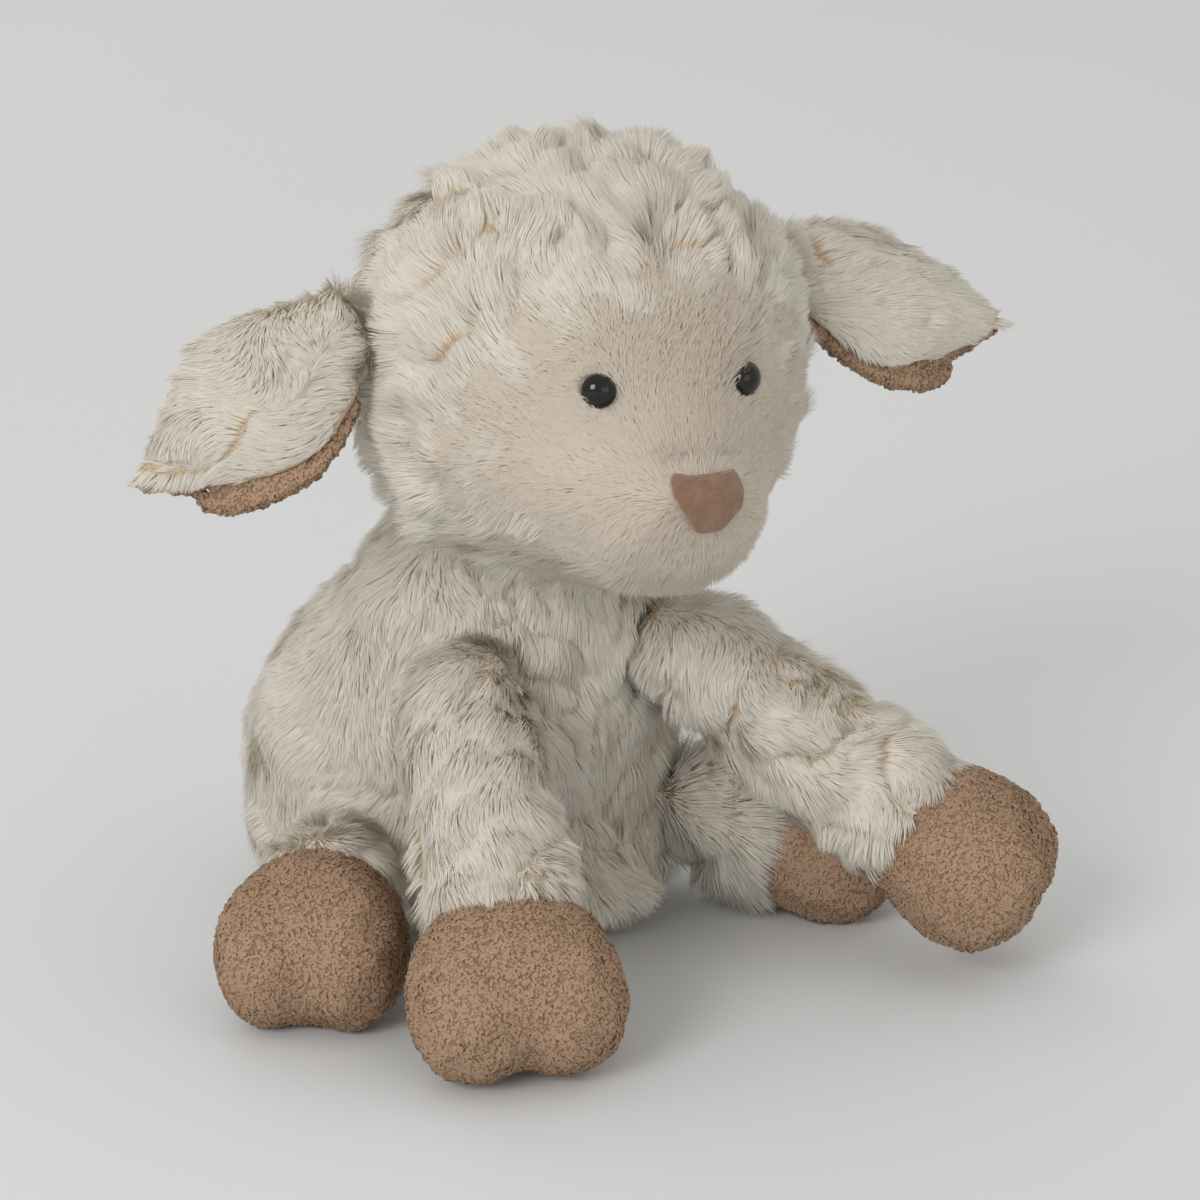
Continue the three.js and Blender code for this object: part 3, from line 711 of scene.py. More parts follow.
@dataclass(frozen=True)
class Pile:
    """How one cloth's pile grows. Lengths are in metres."""

    length: float
    width: float
    density: float
    lean: float = 0.86
    lock: float = 0.034
    margin: float = 0.0004
    round: float = 0.0040
    sink: float = 0.45
    crease: float = 0.0011
    groove: float = 0.0017
    groove_width: float = 0.0024
    billow: float = 0.0005
    billow_size: float = 0.013
    gate: float = 0.045
    gate_low: float = -0.5
    gate_high: float = 0.4
    ragged: float = 0.14
    ragged_size: float = 0.005
    least_slope: float = 0.12
    wisp: float = 0.0045
    gather: float = 0.00025
    swirl: float = 0.5
    swirl_size: float = 0.034
    stray: float = 0.035
    uneven: float = 0.12
    stand: float = 0.34
    tuft: float = 0.08
    tuft_size: float = 0.010
    twist: float = 0.16
    follow: float = 0.97

    def creases(self, points: Array, normals: Array, seed: int) -> tuple[Array, ...]:
        """Finds where the locks part.

        Args:
            points: where to look.
            normals: the cloth's normals there.
            seed: of the cloth.

        Returns:
            The distance to the nearest crease, the way off it and how open it is, from zero to one.
        """
        height, slope = Waves(self.lock, seed + 2).at(points)
        height = height + self.ragged * Waves(self.ragged_size, seed + 6).at(points)[0]
        slope = along_cloth(slope, normals)
        steep = np.linalg.norm(slope, axis=1)
        gap = np.abs(height) / (steep + self.least_slope) * self.lock / (2 * math.pi)
        away = np.sign(height)[:, None] * slope / (steep + 1e-6)[:, None]
        return gap, away, ease(Waves(self.gate, seed + 3).at(points)[0], self.gate_low, self.gate_high)

    def parted(self, skin: Surface, seed: int, share: float | Array = 1.0) -> Surface:
        """Draws a backing cloth in along the creases, and lets it billow a little between them.

        Args:
            skin: the cloth.
            seed: of the cloth.
            share: how much of this each point gets.

        Returns:
            The shaped cloth.
        """
        gap, _, gate = self.creases(skin.verts, skin.normals(), seed)
        billow, _ = Waves(self.billow_size, seed + 9).at(skin.verts)
        groove = self.groove * gate * np.exp(-((gap / self.groove_width) ** 2))
        return skin.moved(share * (self.billow * billow - groove))


@dataclass
class Roots:
    """Where fibres grow, and what each is to do there."""

    points: Array
    normals: Array
    comb: Array
    length: Array
    stand: Array
    parting: Array
    edge: Array

    def kept(self, keep: Array) -> "Roots":
        """Drops the roots that aren't kept."""
        return Roots(*(getattr(self, part.name)[keep] for part in fields(self)))


@dataclass(frozen=True)
class Grower:
    """Turns roots into a mesh of tapered, curved fibres."""

    pile: Pile
    seed: int
    fine: float = 0.4
    tuft_span: tuple = (0.3, 1.4)
    tuft_length: float = 0.8
    crease_turn: float = 0.2
    wisp_turn: float = 0.10
    tone: float = 0.85
    tone_spread: float = 0.03
    # How far fibres at a crease and at a lock's edge are darkened as painted shade.
    crease_shade: float = 0.75
    edge_shade: float = 0.05
    most_draw: float = 0.93
    depth: float = 0.0006
    bend_draw: float = 0.3
    bend_rise: float = 0.75
    widths: tuple = (0.75, 1.25)

    STRIP = ((0, 1, 3), (0, 3, 2), (2, 3, 4))
    ALONG = (0.0, 0.0, 0.5, 0.5, 1.0)

    def tips(self, roots: Roots, rng: np.random.Generator) -> tuple[Array, ...]:
        """Finds how far each tip is drawn along the cloth, by combing, locks, wisps and strays.

        Args:
            roots: the roots.
            rng: where the draws come from.

        Returns:
            The draw along the cloth, the shading normals, the length, how far it stands up and its tone, darkened as
            painted shade at creases and lock edges.
        """
        pile = self.pile
        swirl, _ = Waves(pile.swirl_size, self.seed + 1).at(roots.points)
        angle = pile.swirl * swirl[:, None]
        side = np.cross(roots.normals, roots.comb)
        draw = (roots.comb * np.cos(angle) + side * np.sin(angle)) * roots.length[:, None]

        gap, away, gate = pile.creases(roots.points, roots.normals, self.seed)
        gate = gate * roots.parting
        _, pull = Waves(pile.wisp, self.seed + 4).at(roots.points)
        pull = along_cloth(pull, roots.normals)
        draw = draw + pull * pile.gather
        _, fine = Waves(pile.wisp * self.fine, self.seed + 5).at(roots.points)
        draw = draw + along_cloth(fine, roots.normals) * pile.gather * self.fine
        draw = draw + along_cloth(rng.normal(size=draw.shape), roots.normals) * (pile.stray * roots.length)[:, None]

        run = np.sum(draw * away, axis=1)
        push = gate * np.maximum(0, pile.margin - gap - run)
        draw = draw + away * push[:, None]
        edge = gate * (1 - ease(gap + run + push, 0, pile.round))
        crease = gate * np.exp(-((gap / pile.crease) ** 2))
        tuft, _ = Waves(pile.tuft_size, self.seed + 7).at(roots.points)
        raised = pile.tuft * ease(tuft, *self.tuft_span) * (1 - edge)
        length = roots.length * (1 + pile.uneven * rng.uniform(-1, 1, len(draw)) + self.tuft_length * raised)
        stand = (pile.stand * (1 - pile.sink * edge) + raised) * roots.stand
        turned = away * (self.crease_turn * np.maximum(edge, crease))[:, None]
        normals = unit(roots.normals - turned + pull * self.wisp_turn)
        tone = self.tone + self.tone_spread * rng.normal(size=len(draw))
        # Painted shade: fibres at a crease and at a lock's edge are darkened, which brings on their root colour.
        tone = tone - self.crease_shade * crease - self.edge_shade * edge
        return draw, normals, length, stand, np.clip(tone, 0.02, 0.98)

    def mesh(self, roots: Roots) -> Mesh:
        """Grows the fibres.

        Args:
            roots: the roots.

        Returns:
            The mesh, with its bake map and soft shading normals.
        """
        pile = self.pile
        rng = np.random.default_rng(self.seed)
        draw, shading, length, stand, tone = self.tips(roots, rng)
        reach = np.linalg.norm(draw, axis=1)
        limit = self.most_draw * length
        draw = draw * np.minimum(1, limit / np.maximum(reach, 1e-9))[:, None]
        reach = np.minimum(reach, limit)
        rise = np.minimum(np.sqrt(length**2 - reach**2), stand * length)[:, None] * roots.normals
        start = roots.points - roots.normals * self.depth
        bend = start + self.bend_draw * draw + self.bend_rise * rise
        end = start + draw + rise
        rows = [(1 - s) ** 2 * start + 2 * s * (1 - s) * bend + s * s * end for s in (0.0, 0.5, 1.0)]
        for row in rows:
            row[:, 2] = np.maximum(row[:, 2], FLOOR)
        heading = unit(rows[2] - rows[0])
        flat = unit(np.cross(heading, roots.normals) + 1e-9)
        angle = (pile.twist * rng.uniform(-1, 1, len(draw)))[:, None]
        across = flat * np.cos(angle) + np.cross(heading, flat) * np.sin(angle)
        half = across * (pile.width / 2 * rng.uniform(*self.widths, len(draw)))[:, None]
        face = np.cross(across, heading)
        face = face * np.sign(np.sum(face * roots.normals, axis=1, keepdims=True) + 1e-9)
        soft = unit(pile.follow * shading + (1 - pile.follow) * face)
        points = np.stack([rows[0] - half, rows[0] + half, rows[1] - half, rows[1] + half, rows[2]], 1)
        turned = np.sum(np.cross(half, heading) * roots.normals, axis=1) < 0
        return fibre_mesh(points, self.STRIP, turned, tone, self.ALONG, np.repeat(soft, len(self.ALONG), axis=0))


@dataclass(frozen=True)
class Loops:
    """Terry cloth's face: short round loops of yarn. Lengths are in metres."""

    density: float = 2.9e6
    width: float = 0.70 * MM
    height: float = 0.72 * MM
    span: float = 1.05 * MM
    sink: float = 0.30 * MM
    follow: float = 0.66
    sizes: tuple = (0.65, 1.25)
    swirl: float = 0.7
    swirl_size: float = 0.012
    mess: float = 0.75
    side_lean: float = 0.2
    lean: float = 0.5
    turn: float = 1.6
    nub: float = 2.6 * MM
    nub_rise: float = 0.30 * MM
    nub_light_and_shade: float = 0.18
    # Raised nubs are paler and sunken ones darker, as painted light and shade.
    nub_most: float = 1.2
    tone: float = 0.52
    tone_spread: float = 0.16
    # The loops' feet are darkened as painted shade where they dip into the cloth.
    foot_shade: float = 0.15
    hollow_shade: float = 0.5
    hollow_span: tuple = (0.2 * MM, 1.6 * MM)
    hollow_rounds: int = 60

    STOPS = (0.0, 1 / 3, 2 / 3, 1.0)
    STRIP = tuple((k, k + 1, k + 3) for k in (0, 2, 4)) + tuple((k, k + 3, k + 2) for k in (0, 2, 4))

    def mesh(self, points: Array, normals: Array, hollow: Array, seed: int) -> Mesh:
        """Sews the loops.

        Args:
            points: where each stands.
            normals: the cloth's normals there.
            hollow: how deep in a hollow of the cloth each stands, darkened there as painted shade.
            seed: of the random draws.

        Returns:
            The mesh, with its bake map and soft shading normals.
        """
        rng = np.random.default_rng(seed)
        count = len(points)
        swirl = np.stack([Waves(self.swirl_size, seed + k).at(points)[0] for k in range(3)], 1)
        way = unit(along_cloth(DOWN + self.swirl * swirl + self.mess * rng.normal(size=(count, 3)), normals))
        side = np.cross(normals, way)
        size = rng.uniform(*self.sizes, (count, 1))
        nub = np.clip(Waves(self.nub, seed + 5).at(points)[0], -self.nub_most, self.nub_most)
        points = points + normals * (self.nub_rise * nub)[:, None]
        lean = along_cloth(rng.normal(size=(count, 3)), normals) * self.side_lean + way * self.lean
        rows, along, soft = [], [], []
        for share in self.STOPS:
            high = math.sin(math.pi * share)
            middle = points + way * (share - 0.5) * self.span * size
            middle = middle + normals * (high * self.height * size - self.sink) + lean * high * self.height
            facing = unit(normals + way * (share - 0.5) * self.turn)
            for edge in (-0.5, 0.5):
                rows.append(middle + side * edge * self.width * size)
                # Darker at the loop's feet and pale on top: painted shade and light.
                along.append(self.foot_shade + (1 - self.foot_shade) * high)
                soft.append(unit(self.follow * normals + (1 - self.follow) * facing))
        points = np.stack(rows, 1)
        points[:, :, 2] = np.maximum(points[:, :, 2], FLOOR)
        first = np.cross(points[:, 1] - points[:, 0], points[:, 3] - points[:, 0])
        turned = np.sum(first * normals, axis=1) < 0
        # Painted light and shade: paler on raised nubs, darker in their dips, besides a random spread.
        tone = self.tone + self.nub_light_and_shade * nub + self.tone_spread * rng.normal(size=count)
        # Painted shade: loops deep in a hollow of the cloth are darkened.
        tone = np.clip(tone - self.hollow_shade * ease(hollow, *self.hollow_span), 0.02, 0.98)
        return fibre_mesh(points, self.STRIP, turned, tone, tuple(along), np.stack(soft, 1))


# Pieces


@dataclass
class Workshop:
    """What every sub-assembly builds with."""

    wardrobe: Wardrobe
    forms: dict = field(default_factory=dict)
    voxel: float = 2.6 * MM
    rounds: int = 7
    seam_span: tuple = (1 * MM, 9 * MM)
    seam_share: float = 0.22
    cover_height: float = 3.5 * MM
    cover_depth: float = 3 * MM
    comb_gain: float = 4
    comb_least: float = 0.7

    FORMS = {
        "torso": ("torso_cover", "torso_fill", "pellet_pouch", "neck"),
        "head": ("head_hood", "face_panel", "head_fill"),
        "tail": ("tail",),
        **{leg: (f"{leg}_sleeve", f"{leg}_fill") for leg in LEGS},
    }

    def form(self, name: str) -> Surface:
        """Wraps a stuffed part in its closed outer form, once and still at its CAD size.

        Args:
            name: the part.

        Returns:
            The form.
        """
        if name not in self.forms:
            self.forms[name] = Surface.of_nodes(*self.FORMS[name]).remeshed(self.voxel).smoothed(self.rounds)
        return self.forms[name]

    def clear_of(self, points: Array, others: tuple, depth: float) -> Array:
        """Finds points that no other form covers.

        Args:
            points: where to look.
            others: names of forms.
            depth: how deep a point may lie in one of them, in metres.

        Returns:
            True for each point that is clear.
        """
        clear = np.ones(len(points), bool)
        for name in others:
            form = self.form(name)
            low, high = form.verts.min(axis=0), form.verts.max(axis=0)
            near = np.flatnonzero(clear & np.all((points > low) & (points < high), axis=1))
            if len(near):
                clear[near] = form.height_of(points[near]) > -depth
        return clear

    def skin(self, name: str, inset: float, others: tuple, rounds: int = 3) -> Surface:
        """Takes the pile's thickness off a form, and less of it where the form is sewn to others.

        Args:
            name: the form.
            inset: the pile's thickness.
            others: names of the forms it is sewn to.
            rounds: how often it is smoothed after that.

        Returns:
            The backing cloth's surface.
        """
        form = self.form(name)
        free = np.ones(len(form.verts))
        for other in others:
            gap = self.form(other).nearest(form.verts, Nearest.DISTANCE)
            free = np.minimum(free, ease(gap, *self.seam_span))
        return form.moved(-inset * (self.seam_share + (1 - self.seam_share) * free)).smoothed(rounds)

    def roots(
        self, skin: Surface, pile: Pile, seed: int, way: Callable, others: tuple = (), edge: Array | None = None
    ) -> Roots:
        """Draws roots over a skin and combs them.

        Args:
            skin: the backing cloth.
            pile: how it grows.
            seed: of the random draws.
            way: gives where the hair is drawn to, for all points in one row or in a row for each.
            others: names of forms that hide what they cover.
            edge: how far each point of the skin lies inside a border, if there is one.

        Returns:
            The roots.
        """
        points, normals, inside = skin.scattered(pile.density, seed, edge)
        keep = self.clear_of(points + normals * self.cover_height, others, self.cover_depth)
        points, normals, inside = points[keep], normals[keep], inside[keep]
        flat = along_cloth(way(points), normals)
        size = np.linalg.norm(flat, axis=1, keepdims=True)
        comb = flat / np.maximum(size, 1e-6) * pile.lean * np.clip(size * self.comb_gain, self.comb_least, 1)
        ones = np.ones(len(points))
        return Roots(points, normals, comb, pile.length * ones, ones, ones, inside)

    def piece(self, name: str, mesh: Mesh, finish: str, body: str, slot: str, *nodes: str) -> bpy.types.Object:
        """Puts a finished mesh in the scene.

        Args:
            name: the piece's name.
            mesh: its mesh, in the frame.
            finish: its material's name.
            body: the CAD body it rides on.
            slot: the record's material slot, which is not used.
            nodes: the CAD nodes it replaces.

        Returns:
            The piece.
        """
        piece = bpy.data.objects.new(name, mesh)
        mesh.name = name
        bpy.context.scene.collection.objects.link(piece)
        mesh.materials.append(self.wardrobe.get(finish))
        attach(piece, body)
        if nodes:
            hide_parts(*nodes)
        log.info("%s: %d triangles on %s", name, len(mesh.polygons), body)
        return piece

    def backing(self, name: str, skin: Surface, body: str, *nodes: str) -> bpy.types.Object:
        """Puts a long pile's backing cloth in the scene."""
        return self.piece(name, skin.mesh(), "backing cloth", body, "wool_pile", *nodes)

    def wool(self, name: str, roots: Roots, pile: Pile, seed: int, body: str) -> None:
        """Grows a piece of long pile."""
        self.piece(name, Grower(pile, seed).mesh(roots), "wool fibre", body, "wool_pile")

    def terry(self, name: str, skin: Surface, lining: Surface, gap: float, seed: int, node: str) -> bpy.types.Object:
        """Adds a terry cloth, with loops on the side that faces away from its lining.

        Args:
            name: the body that the cloth rides on.
            skin: the terry's backing.
            lining: what lies behind it.
            gap: how far off the lining a loop has to stand.
            seed: of the random draws.
            node: the CAD node that the cloth replaces.

        Returns:
            The cloth's piece.
        """
        cloth = self.piece(f"{name}_terry", skin.mesh(), "tan terry", name, "terry", node)
        loops = Loops()
        points, normals, _ = skin.scattered(loops.density, seed)
        keep = lining.nearest(points, Nearest.DISTANCE) > gap
        points, normals = points[keep], normals[keep]
        # How deep each loop sits in a hollow, for the painted shade there.
        hollow = -skin.smoothed(loops.hollow_rounds).height_of(points)
        self.piece(f"{name}_loops", loops.mesh(points, normals, hollow, seed), "terry loop", name, "terry")
        return cloth


@dataclass
class Torso:
    """The body: backing cloth, long pile and the neck."""

    inset: float = 3.6 * MM
    pile: Pile = Pile(
        length=9 * MM, width=0.34 * MM, density=3.3e6, lock=0.019, gate=0.028, gate_low=-0.9, gate_high=0.0,
    )
    forward: float = 10 * MM
    shaggy: float = 0.9
    shaggy_span: tuple = (12 * MM, 40 * MM)
    calm: float = 0.7
    calm_span: tuple = (0.6, 1.1)
    seed: int = 11

    OTHERS = ("head", *LEGS, "tail")
    PILES = ("chest_pile", "left_side_pile", "back_pile", "right_side_pile")

    def build(self, shop: Workshop) -> None:
        """Makes the body's pieces.

        Args:
            shop: the shared tools.
        """
        skin = shop.skin("torso", self.inset, self.OTHERS, 4).subdivided()
        skin = self.pile.parted(skin, self.seed, self.parting(skin.verts))
        middle = skin.verts[skin.tris].mean(axis=1)
        to_neck, to_cover = (
            Surface.of_nodes(name).nearest(middle, Nearest.DISTANCE) for name in ("neck", "torso_cover")
        )
        on_neck = to_neck < to_cover
        cloth = shop.backing("torso_cloth", skin.kept(~on_neck), "torso", "torso_cover")
        shop.backing("neck_cloth", skin.kept(on_neck), "torso", "neck")
        roots = shop.roots(skin, self.pile, self.seed, self.way, self.OTHERS)
        roots.parting = self.parting(roots.points)
        low = 1 - ease(roots.points[:, 2], *self.shaggy_span)
        roots.stand = roots.stand + self.shaggy * low
        quarter = np.floor((self.turn(roots.points) + math.pi / 4) / (math.pi / 2)).astype(int) % 4
        for part, name in enumerate(self.PILES):
            shop.wool(name, roots.kept(quarter == part), self.pile, self.seed, "torso")

    def turn(self, points: Array) -> Array:
        """How far round the body from its front each point is, in radians."""
        return np.arctan2(points[:, 0], -points[:, 1] - self.forward)

    def parting(self, points: Array) -> Array:
        """How strongly the locks part: fully on the chest, little on the sides and back."""
        return 1 - self.calm * ease(np.abs(self.turn(points)), *self.calm_span)

    def way(self, points: Array) -> Array:
        """The body's pile is brushed down."""
        return DOWN


@dataclass
class Head:
    """The head: hood, face, nose and mouth."""

    hood_inset: float = 3.8 * MM
    face_inset: float = 3.0 * MM
    hood_pile: Pile = Pile(
        length=9.5 * MM, width=0.34 * MM, density=3.4e6, lock=0.030, gate=0.05, gate_low=0.0, gate_high=0.9, tuft=0.14,
        billow=0.0010,
    )
    face_pile: Pile = Pile(
        length=4.4 * MM, width=0.27 * MM, density=10.0e6, lean=0.7, gate_low=2.5, gate_high=3.5, wisp=4.0 * MM,
        gather=0.25 * MM, swirl=0.25, stray=0.09, stand=0.72,
    )
    hairline: float = 4 * MM
    calm: float = 8 * MM
    mingle: float = 7 * MM
    wander: float = 3.0 * MM
    wander_size: float = 14 * MM
    behind_span: tuple = (-0.085, -0.035)
    behind: float = 0.85
    short: float = 0.4
    short_from: float = -12 * MM
    muzzle_near: float = 0.35
    muzzle_reach: float = 34 * MM
    muzzle_length: float = 6.6 * MM
    roll_from: float = 3 * MM
    roll_near: float = 0.3
    roll_far: float = 2.4
    roll_reach: float = 3.0 * MM
    roll_length: float = 2.0 * MM
    roll_stand: float = 0.8
    roll_lean: float = 1.15
    shag_low: float = 128 * MM
    shag_high: float = 165 * MM
    shag_length: float = 0.3
    shag_stand: float = 0.7
    chin_length: float = 3.5 * MM
    eye_room: float = 3.7 * MM
    eye_near: float = 0.55
    eye_ring: float = 10 * MM
    eye_length: float = 2.6 * MM
    eye_stand: float = 0.4
    eye_closer: float = 0.2 * MM
    inner_span: tuple = (-0.2, 0.7)
    mouth_sunk: float = 4.3 * MM
    nose_height: float = 2 * MM
    nose_room: float = 0.1 * MM
    nose_depth: float = 5 * MM
    top: float = 0.01
    seed: int = 31

    def build(self, shop: Workshop) -> None:
        """Makes the head's pieces.

        Args:
            shop: the shared tools.
        """
        form = shop.form("head")
        on_face = ease(self.edge(form), -self.hairline, self.hairline)
        inset = self.hood_inset + (self.face_inset - self.hood_inset) * on_face
        skin = form.moved(-inset).smoothed(3).subdivided()
        edge = self.edge(skin)
        skin = self.hood_pile.parted(skin, self.seed, 1 - ease(edge, -self.calm, 0))
        inside = edge[skin.tris].mean(axis=1)
        cloth = shop.backing("hood_cloth", skin.kept(inside <= 0), "head", "head_hood")
        cloth = shop.piece("face_cloth", skin.kept(inside > 0).mesh(), "face cloth", "head", "short_pile", "face_panel")
        self.grow_hood(shop, skin, edge)
        self.grow_face(shop, skin, edge)
        nose = Surface.of_nodes("nose_pad").remeshed(0.7 * MM).smoothed(60)
        cloth = shop.piece("nose_cushion", nose.mesh(), "nose velour", "head", "velour", "nose_pad")
        mouth = Surface.of_nodes("mouth_thread").remeshed(0.4 * MM).smoothed(2)
        mouth = Surface(mouth.verts - form.nearest(mouth.verts, Nearest.NORMAL) * self.mouth_sunk, mouth.tris)
        shop.piece("mouth_stitch", mouth.mesh(), "mouth thread", "head", "thread", "mouth_thread")

    def way(self, points: Array) -> Array:
        """Finds how the head's pile is brushed: away from the nose, and down behind.

        Args:
            points: the roots.

        Returns:
            Where the hair is drawn to at each.
        """
        from_nose = unit(points - middle_of("nose_pad"))
        behind = ease(points[:, 1:2], *self.behind_span)
        return from_nose * (1 - self.behind * behind) + DOWN * behind

    def edge(self, surface: Surface) -> Array:
        """Measures how far each point of a surface lies inside the face.

        Args:
            surface: the surface.

        Returns:
            The distances, below zero on the hood.
        """
        hood, face = (
            Surface.of_nodes(name).nearest(surface.verts, Nearest.DISTANCE) for name in ("head_hood", "face_panel")
        )
        edge = (hood - face)[:, None]
        for _ in range(3):
            edge = surface.averaged(edge)
        return edge[:, 0]

    def on_face(self, roots: Roots, seed: int) -> Array:
        """Deals the roots near the hairline out between face and hood, so that the two piles mingle.

        Args:
            roots: the roots.
            seed: of the random draws.

        Returns:
            True for each root that is the face's.
        """
        wander, _ = Waves(self.wander_size, self.seed + 17).at(roots.points)
        share = ease(roots.edge + self.wander * wander, -self.mingle, self.mingle)
        return np.random.default_rng(seed).random(len(share)) < share

    def grow_hood(self, shop: Workshop, skin: Surface, edge: Array) -> None:
        """Grows the hood's long pile, shorter at the hairline.

        Args:
            shop: the shared tools.
            skin: the head's backing.
            edge: how far its points lie inside the face.
        """
        roots = shop.roots(skin, self.hood_pile, self.seed, self.way, ("torso",), edge)
        roots = roots.kept(~self.on_face(roots, self.seed))
        shag = 1 - ease(roots.points[:, 2], self.shag_low, self.shag_high)
        near = ease(roots.edge, self.short_from, self.hairline)
        roots.length = roots.length * (1 - self.short * near + self.shag_length * shag)
        roots.stand = roots.stand + self.shag_stand * shag
        middle = middle_of("head_hood")
        left = roots.points[:, 0] > middle[0]
        crown = roots.points[:, 2] > middle[2] + self.top
        for place, high in (("crown", crown), ("cheek", ~crown)):
            for side, part in (("left", left), ("right", ~left)):
                shop.wool(f"{place}_{side}_pile", roots.kept(part & high), self.hood_pile, self.seed, "head")

    def grow_face(self, shop: Workshop, skin: Surface, edge: Array) -> None:
        """Grows the face's short pile, longer round the muzzle and clear of the eyes and nose.

        Args:
            shop: the shared tools.
            skin: the head's backing.
            edge: how far its points lie inside the face.
        """
        near = edge[skin.tris].mean(axis=1) > -self.mingle - self.wander
        border = edge[np.unique(skin.tris[near])]
        roots = shop.roots(skin.kept(near), self.face_pile, self.seed + 3, self.way, (), border)
        roots = roots.kept(self.on_face(roots, self.seed + 1))
        nose = Surface.of_nodes("nose_pad").remeshed(0.8 * MM)
        off_nose = nose.height_of(roots.points + roots.normals * self.nose_height)
        keep = (off_nose > self.nose_room) | (np.abs(off_nose) > self.nose_depth)
        for name in ("left_eye", "right_eye"):
            from_eye = roots.points - middle_of(name)
            off = np.linalg.norm(from_eye, axis=1)
            to_nose = unit(nose.verts.mean(axis=0) - middle_of(name))
            inner = ease(unit(from_eye) @ to_nose, *self.inner_span)
            keep &= off > self.eye_room - self.eye_closer * inner
            ring = inner * (1 - ease(off, self.eye_near * self.eye_ring, self.eye_ring))
            roots.length = roots.length + self.eye_length * ring
            roots.stand = roots.stand + self.eye_stand * ring
        far = np.linalg.norm(roots.points - middle_of("nose_pad"), axis=1)
        muzzle = 1 - ease(far, self.muzzle_near * self.muzzle_reach, self.muzzle_reach)
        roots.length = roots.length + (self.muzzle_length - self.face_pile.length) * muzzle
        nose_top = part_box("nose_pad")[1][2]
        above = ease(roots.points[:, 2], nose_top - self.roll_from, nose_top)
        reach = (self.roll_near * self.roll_reach, self.roll_far * self.roll_reach)
        roll = above * (1 - ease(np.abs(off_nose), *reach))
        roots.comb = roots.comb * (1 - self.roll_lean * roll)[:, None]
        roots.length = roots.length + self.roll_length * roll
        roots.stand = roots.stand + self.roll_stand * roll
        chin = 1 - ease(roots.points[:, 2], self.shag_low, 0.5 * (self.shag_low + self.shag_high))
        roots.length = roots.length + self.chin_length * chin
        left = roots.points[:, 0] > 0
        for name, part in (("face_left_pile", left), ("face_right_pile", ~left)):
            mesh = Grower(self.face_pile, self.seed).mesh(roots.kept(part & keep))
            shop.piece(name, mesh, "face fibre", "head", "short_pile")


@dataclass
class Leg:
    """One leg: sleeve of long pile and a terry hoof."""

    name: str
    seed: int
    drop: float = 0.4
    outward: float = 0.5
    outward_span: tuple = (-0.45, 0.05)
    extra: float = 0.0
    extra_stand: float = 4 * MM
    inset: float = 3.6 * MM
    pile: Pile = Pile(
        length=9 * MM, width=0.34 * MM, density=3.4e6, lock=0.034, gate=0.06, gate_low=-0.5, gate_high=0.3, tuft=0.05,
    )
    tucked: float = 12 * MM
    terry_inset: float = 0.4 * MM
    terry_gap: float = 1.2 * MM

    def build(self, shop: Workshop) -> None:
        """Makes the leg's pieces.

        Args:
            shop: the shared tools.
        """
        skin = self.pile.parted(shop.skin(self.name, self.inset, ("torso",)).subdivided(), self.seed)
        cloth = shop.backing(f"{self.name}_cloth", skin, self.name, f"{self.name}_sleeve")
        roots = shop.roots(skin, self.pile, self.seed, self.way, ("torso",))
        roots.length = roots.length + self.extra
        roots.stand = roots.stand + self.extra / self.extra_stand
        hoof = Surface.of_nodes(f"{self.name}_hoof")
        cast = hoof.tree().ray_cast
        lines = zip(roots.points.tolist(), roots.normals.tolist())
        roots = roots.kept(np.array([cast(point, normal, self.tucked)[0] is None for point, normal in lines]))
        shop.wool(f"{self.name}_pile", roots, self.pile, self.seed, self.name)
        hoof = hoof.remeshed(1.6 * MM).smoothed(6).moved(-self.terry_inset)
        fill = Surface.of_nodes(f"{self.name}_fill")
        cloth = shop.terry(self.name, hoof, fill, self.terry_gap, self.seed, f"{self.name}_hoof")

    def way(self, points: Array) -> Array:
        """Finds how the sleeve's pile is brushed: towards the hoof and down, and outward near the body.

        Args:
            points: the roots.

        Returns:
            Where the hair is drawn to at each.
        """
        middle = middle_of(f"{self.name}_sleeve")
        run = 2 * (middle_of(f"{self.name}_hoof") - middle)
        side = np.array([1.0 if self.name.startswith("left") else -1.0, 0.0, 0.0])
        along = (points - middle) @ unit(run) / np.linalg.norm(run)
        outward = self.outward * (1 - ease(along, *self.outward_span))
        return unit(run) + self.drop * DOWN + outward[:, None] * side


@dataclass
class Ear:
    """One ear: long pile behind, terry in front."""

    name: str
    seed: int
    thickness: float = 0.62
    trim: float = 0.4
    trim_span: tuple = (2.4 * MM, 6.5 * MM)
    rim: float = 2.8 * MM
    pile: Pile = Pile(length=8.5 * MM, width=0.34 * MM, density=3.8e6, lock=0.030, gate_low=-0.3, tuft=0.2)
    terry_gap: float = 0.8 * MM

    def build(self, shop: Workshop) -> None:
        """Makes the ear's pieces.

        Args:
            shop: the shared tools.
        """
        lining = Surface.of_nodes(f"{self.name}_lining")
        back = Surface.of_nodes(f"{self.name}_back").remeshed(1.6 * MM).smoothed(5)
        near = lining.nearest(back.verts, Nearest.PLACE)
        skin = Surface(near + self.thickness * (back.verts - near), back.tris).smoothed(2)
        shop.backing(f"{self.name}_cloth", skin, self.name, f"{self.name}_back")
        roots = shop.roots(skin, self.pile, self.seed, self.way)
        off = lining.nearest(roots.points + roots.normals * 3 * MM, Nearest.DISTANCE)
        roots.length = roots.length * (self.trim + (1 - self.trim) * ease(off, *self.trim_span))
        roots = roots.kept(off > self.rim)
        shop.wool(f"{self.name}_pile", roots, self.pile, self.seed, self.name)
        terry = lining.remeshed(0.7 * MM).smoothed(6)
        shop.terry(self.name, terry, back, self.terry_gap, self.seed, f"{self.name}_lining")

    def way(self, points: Array) -> Array:
        """The ear's pile is brushed to its tip."""
        return np.array([1.0 if self.name.startswith("left") else -1.0, -0.1, -0.4])


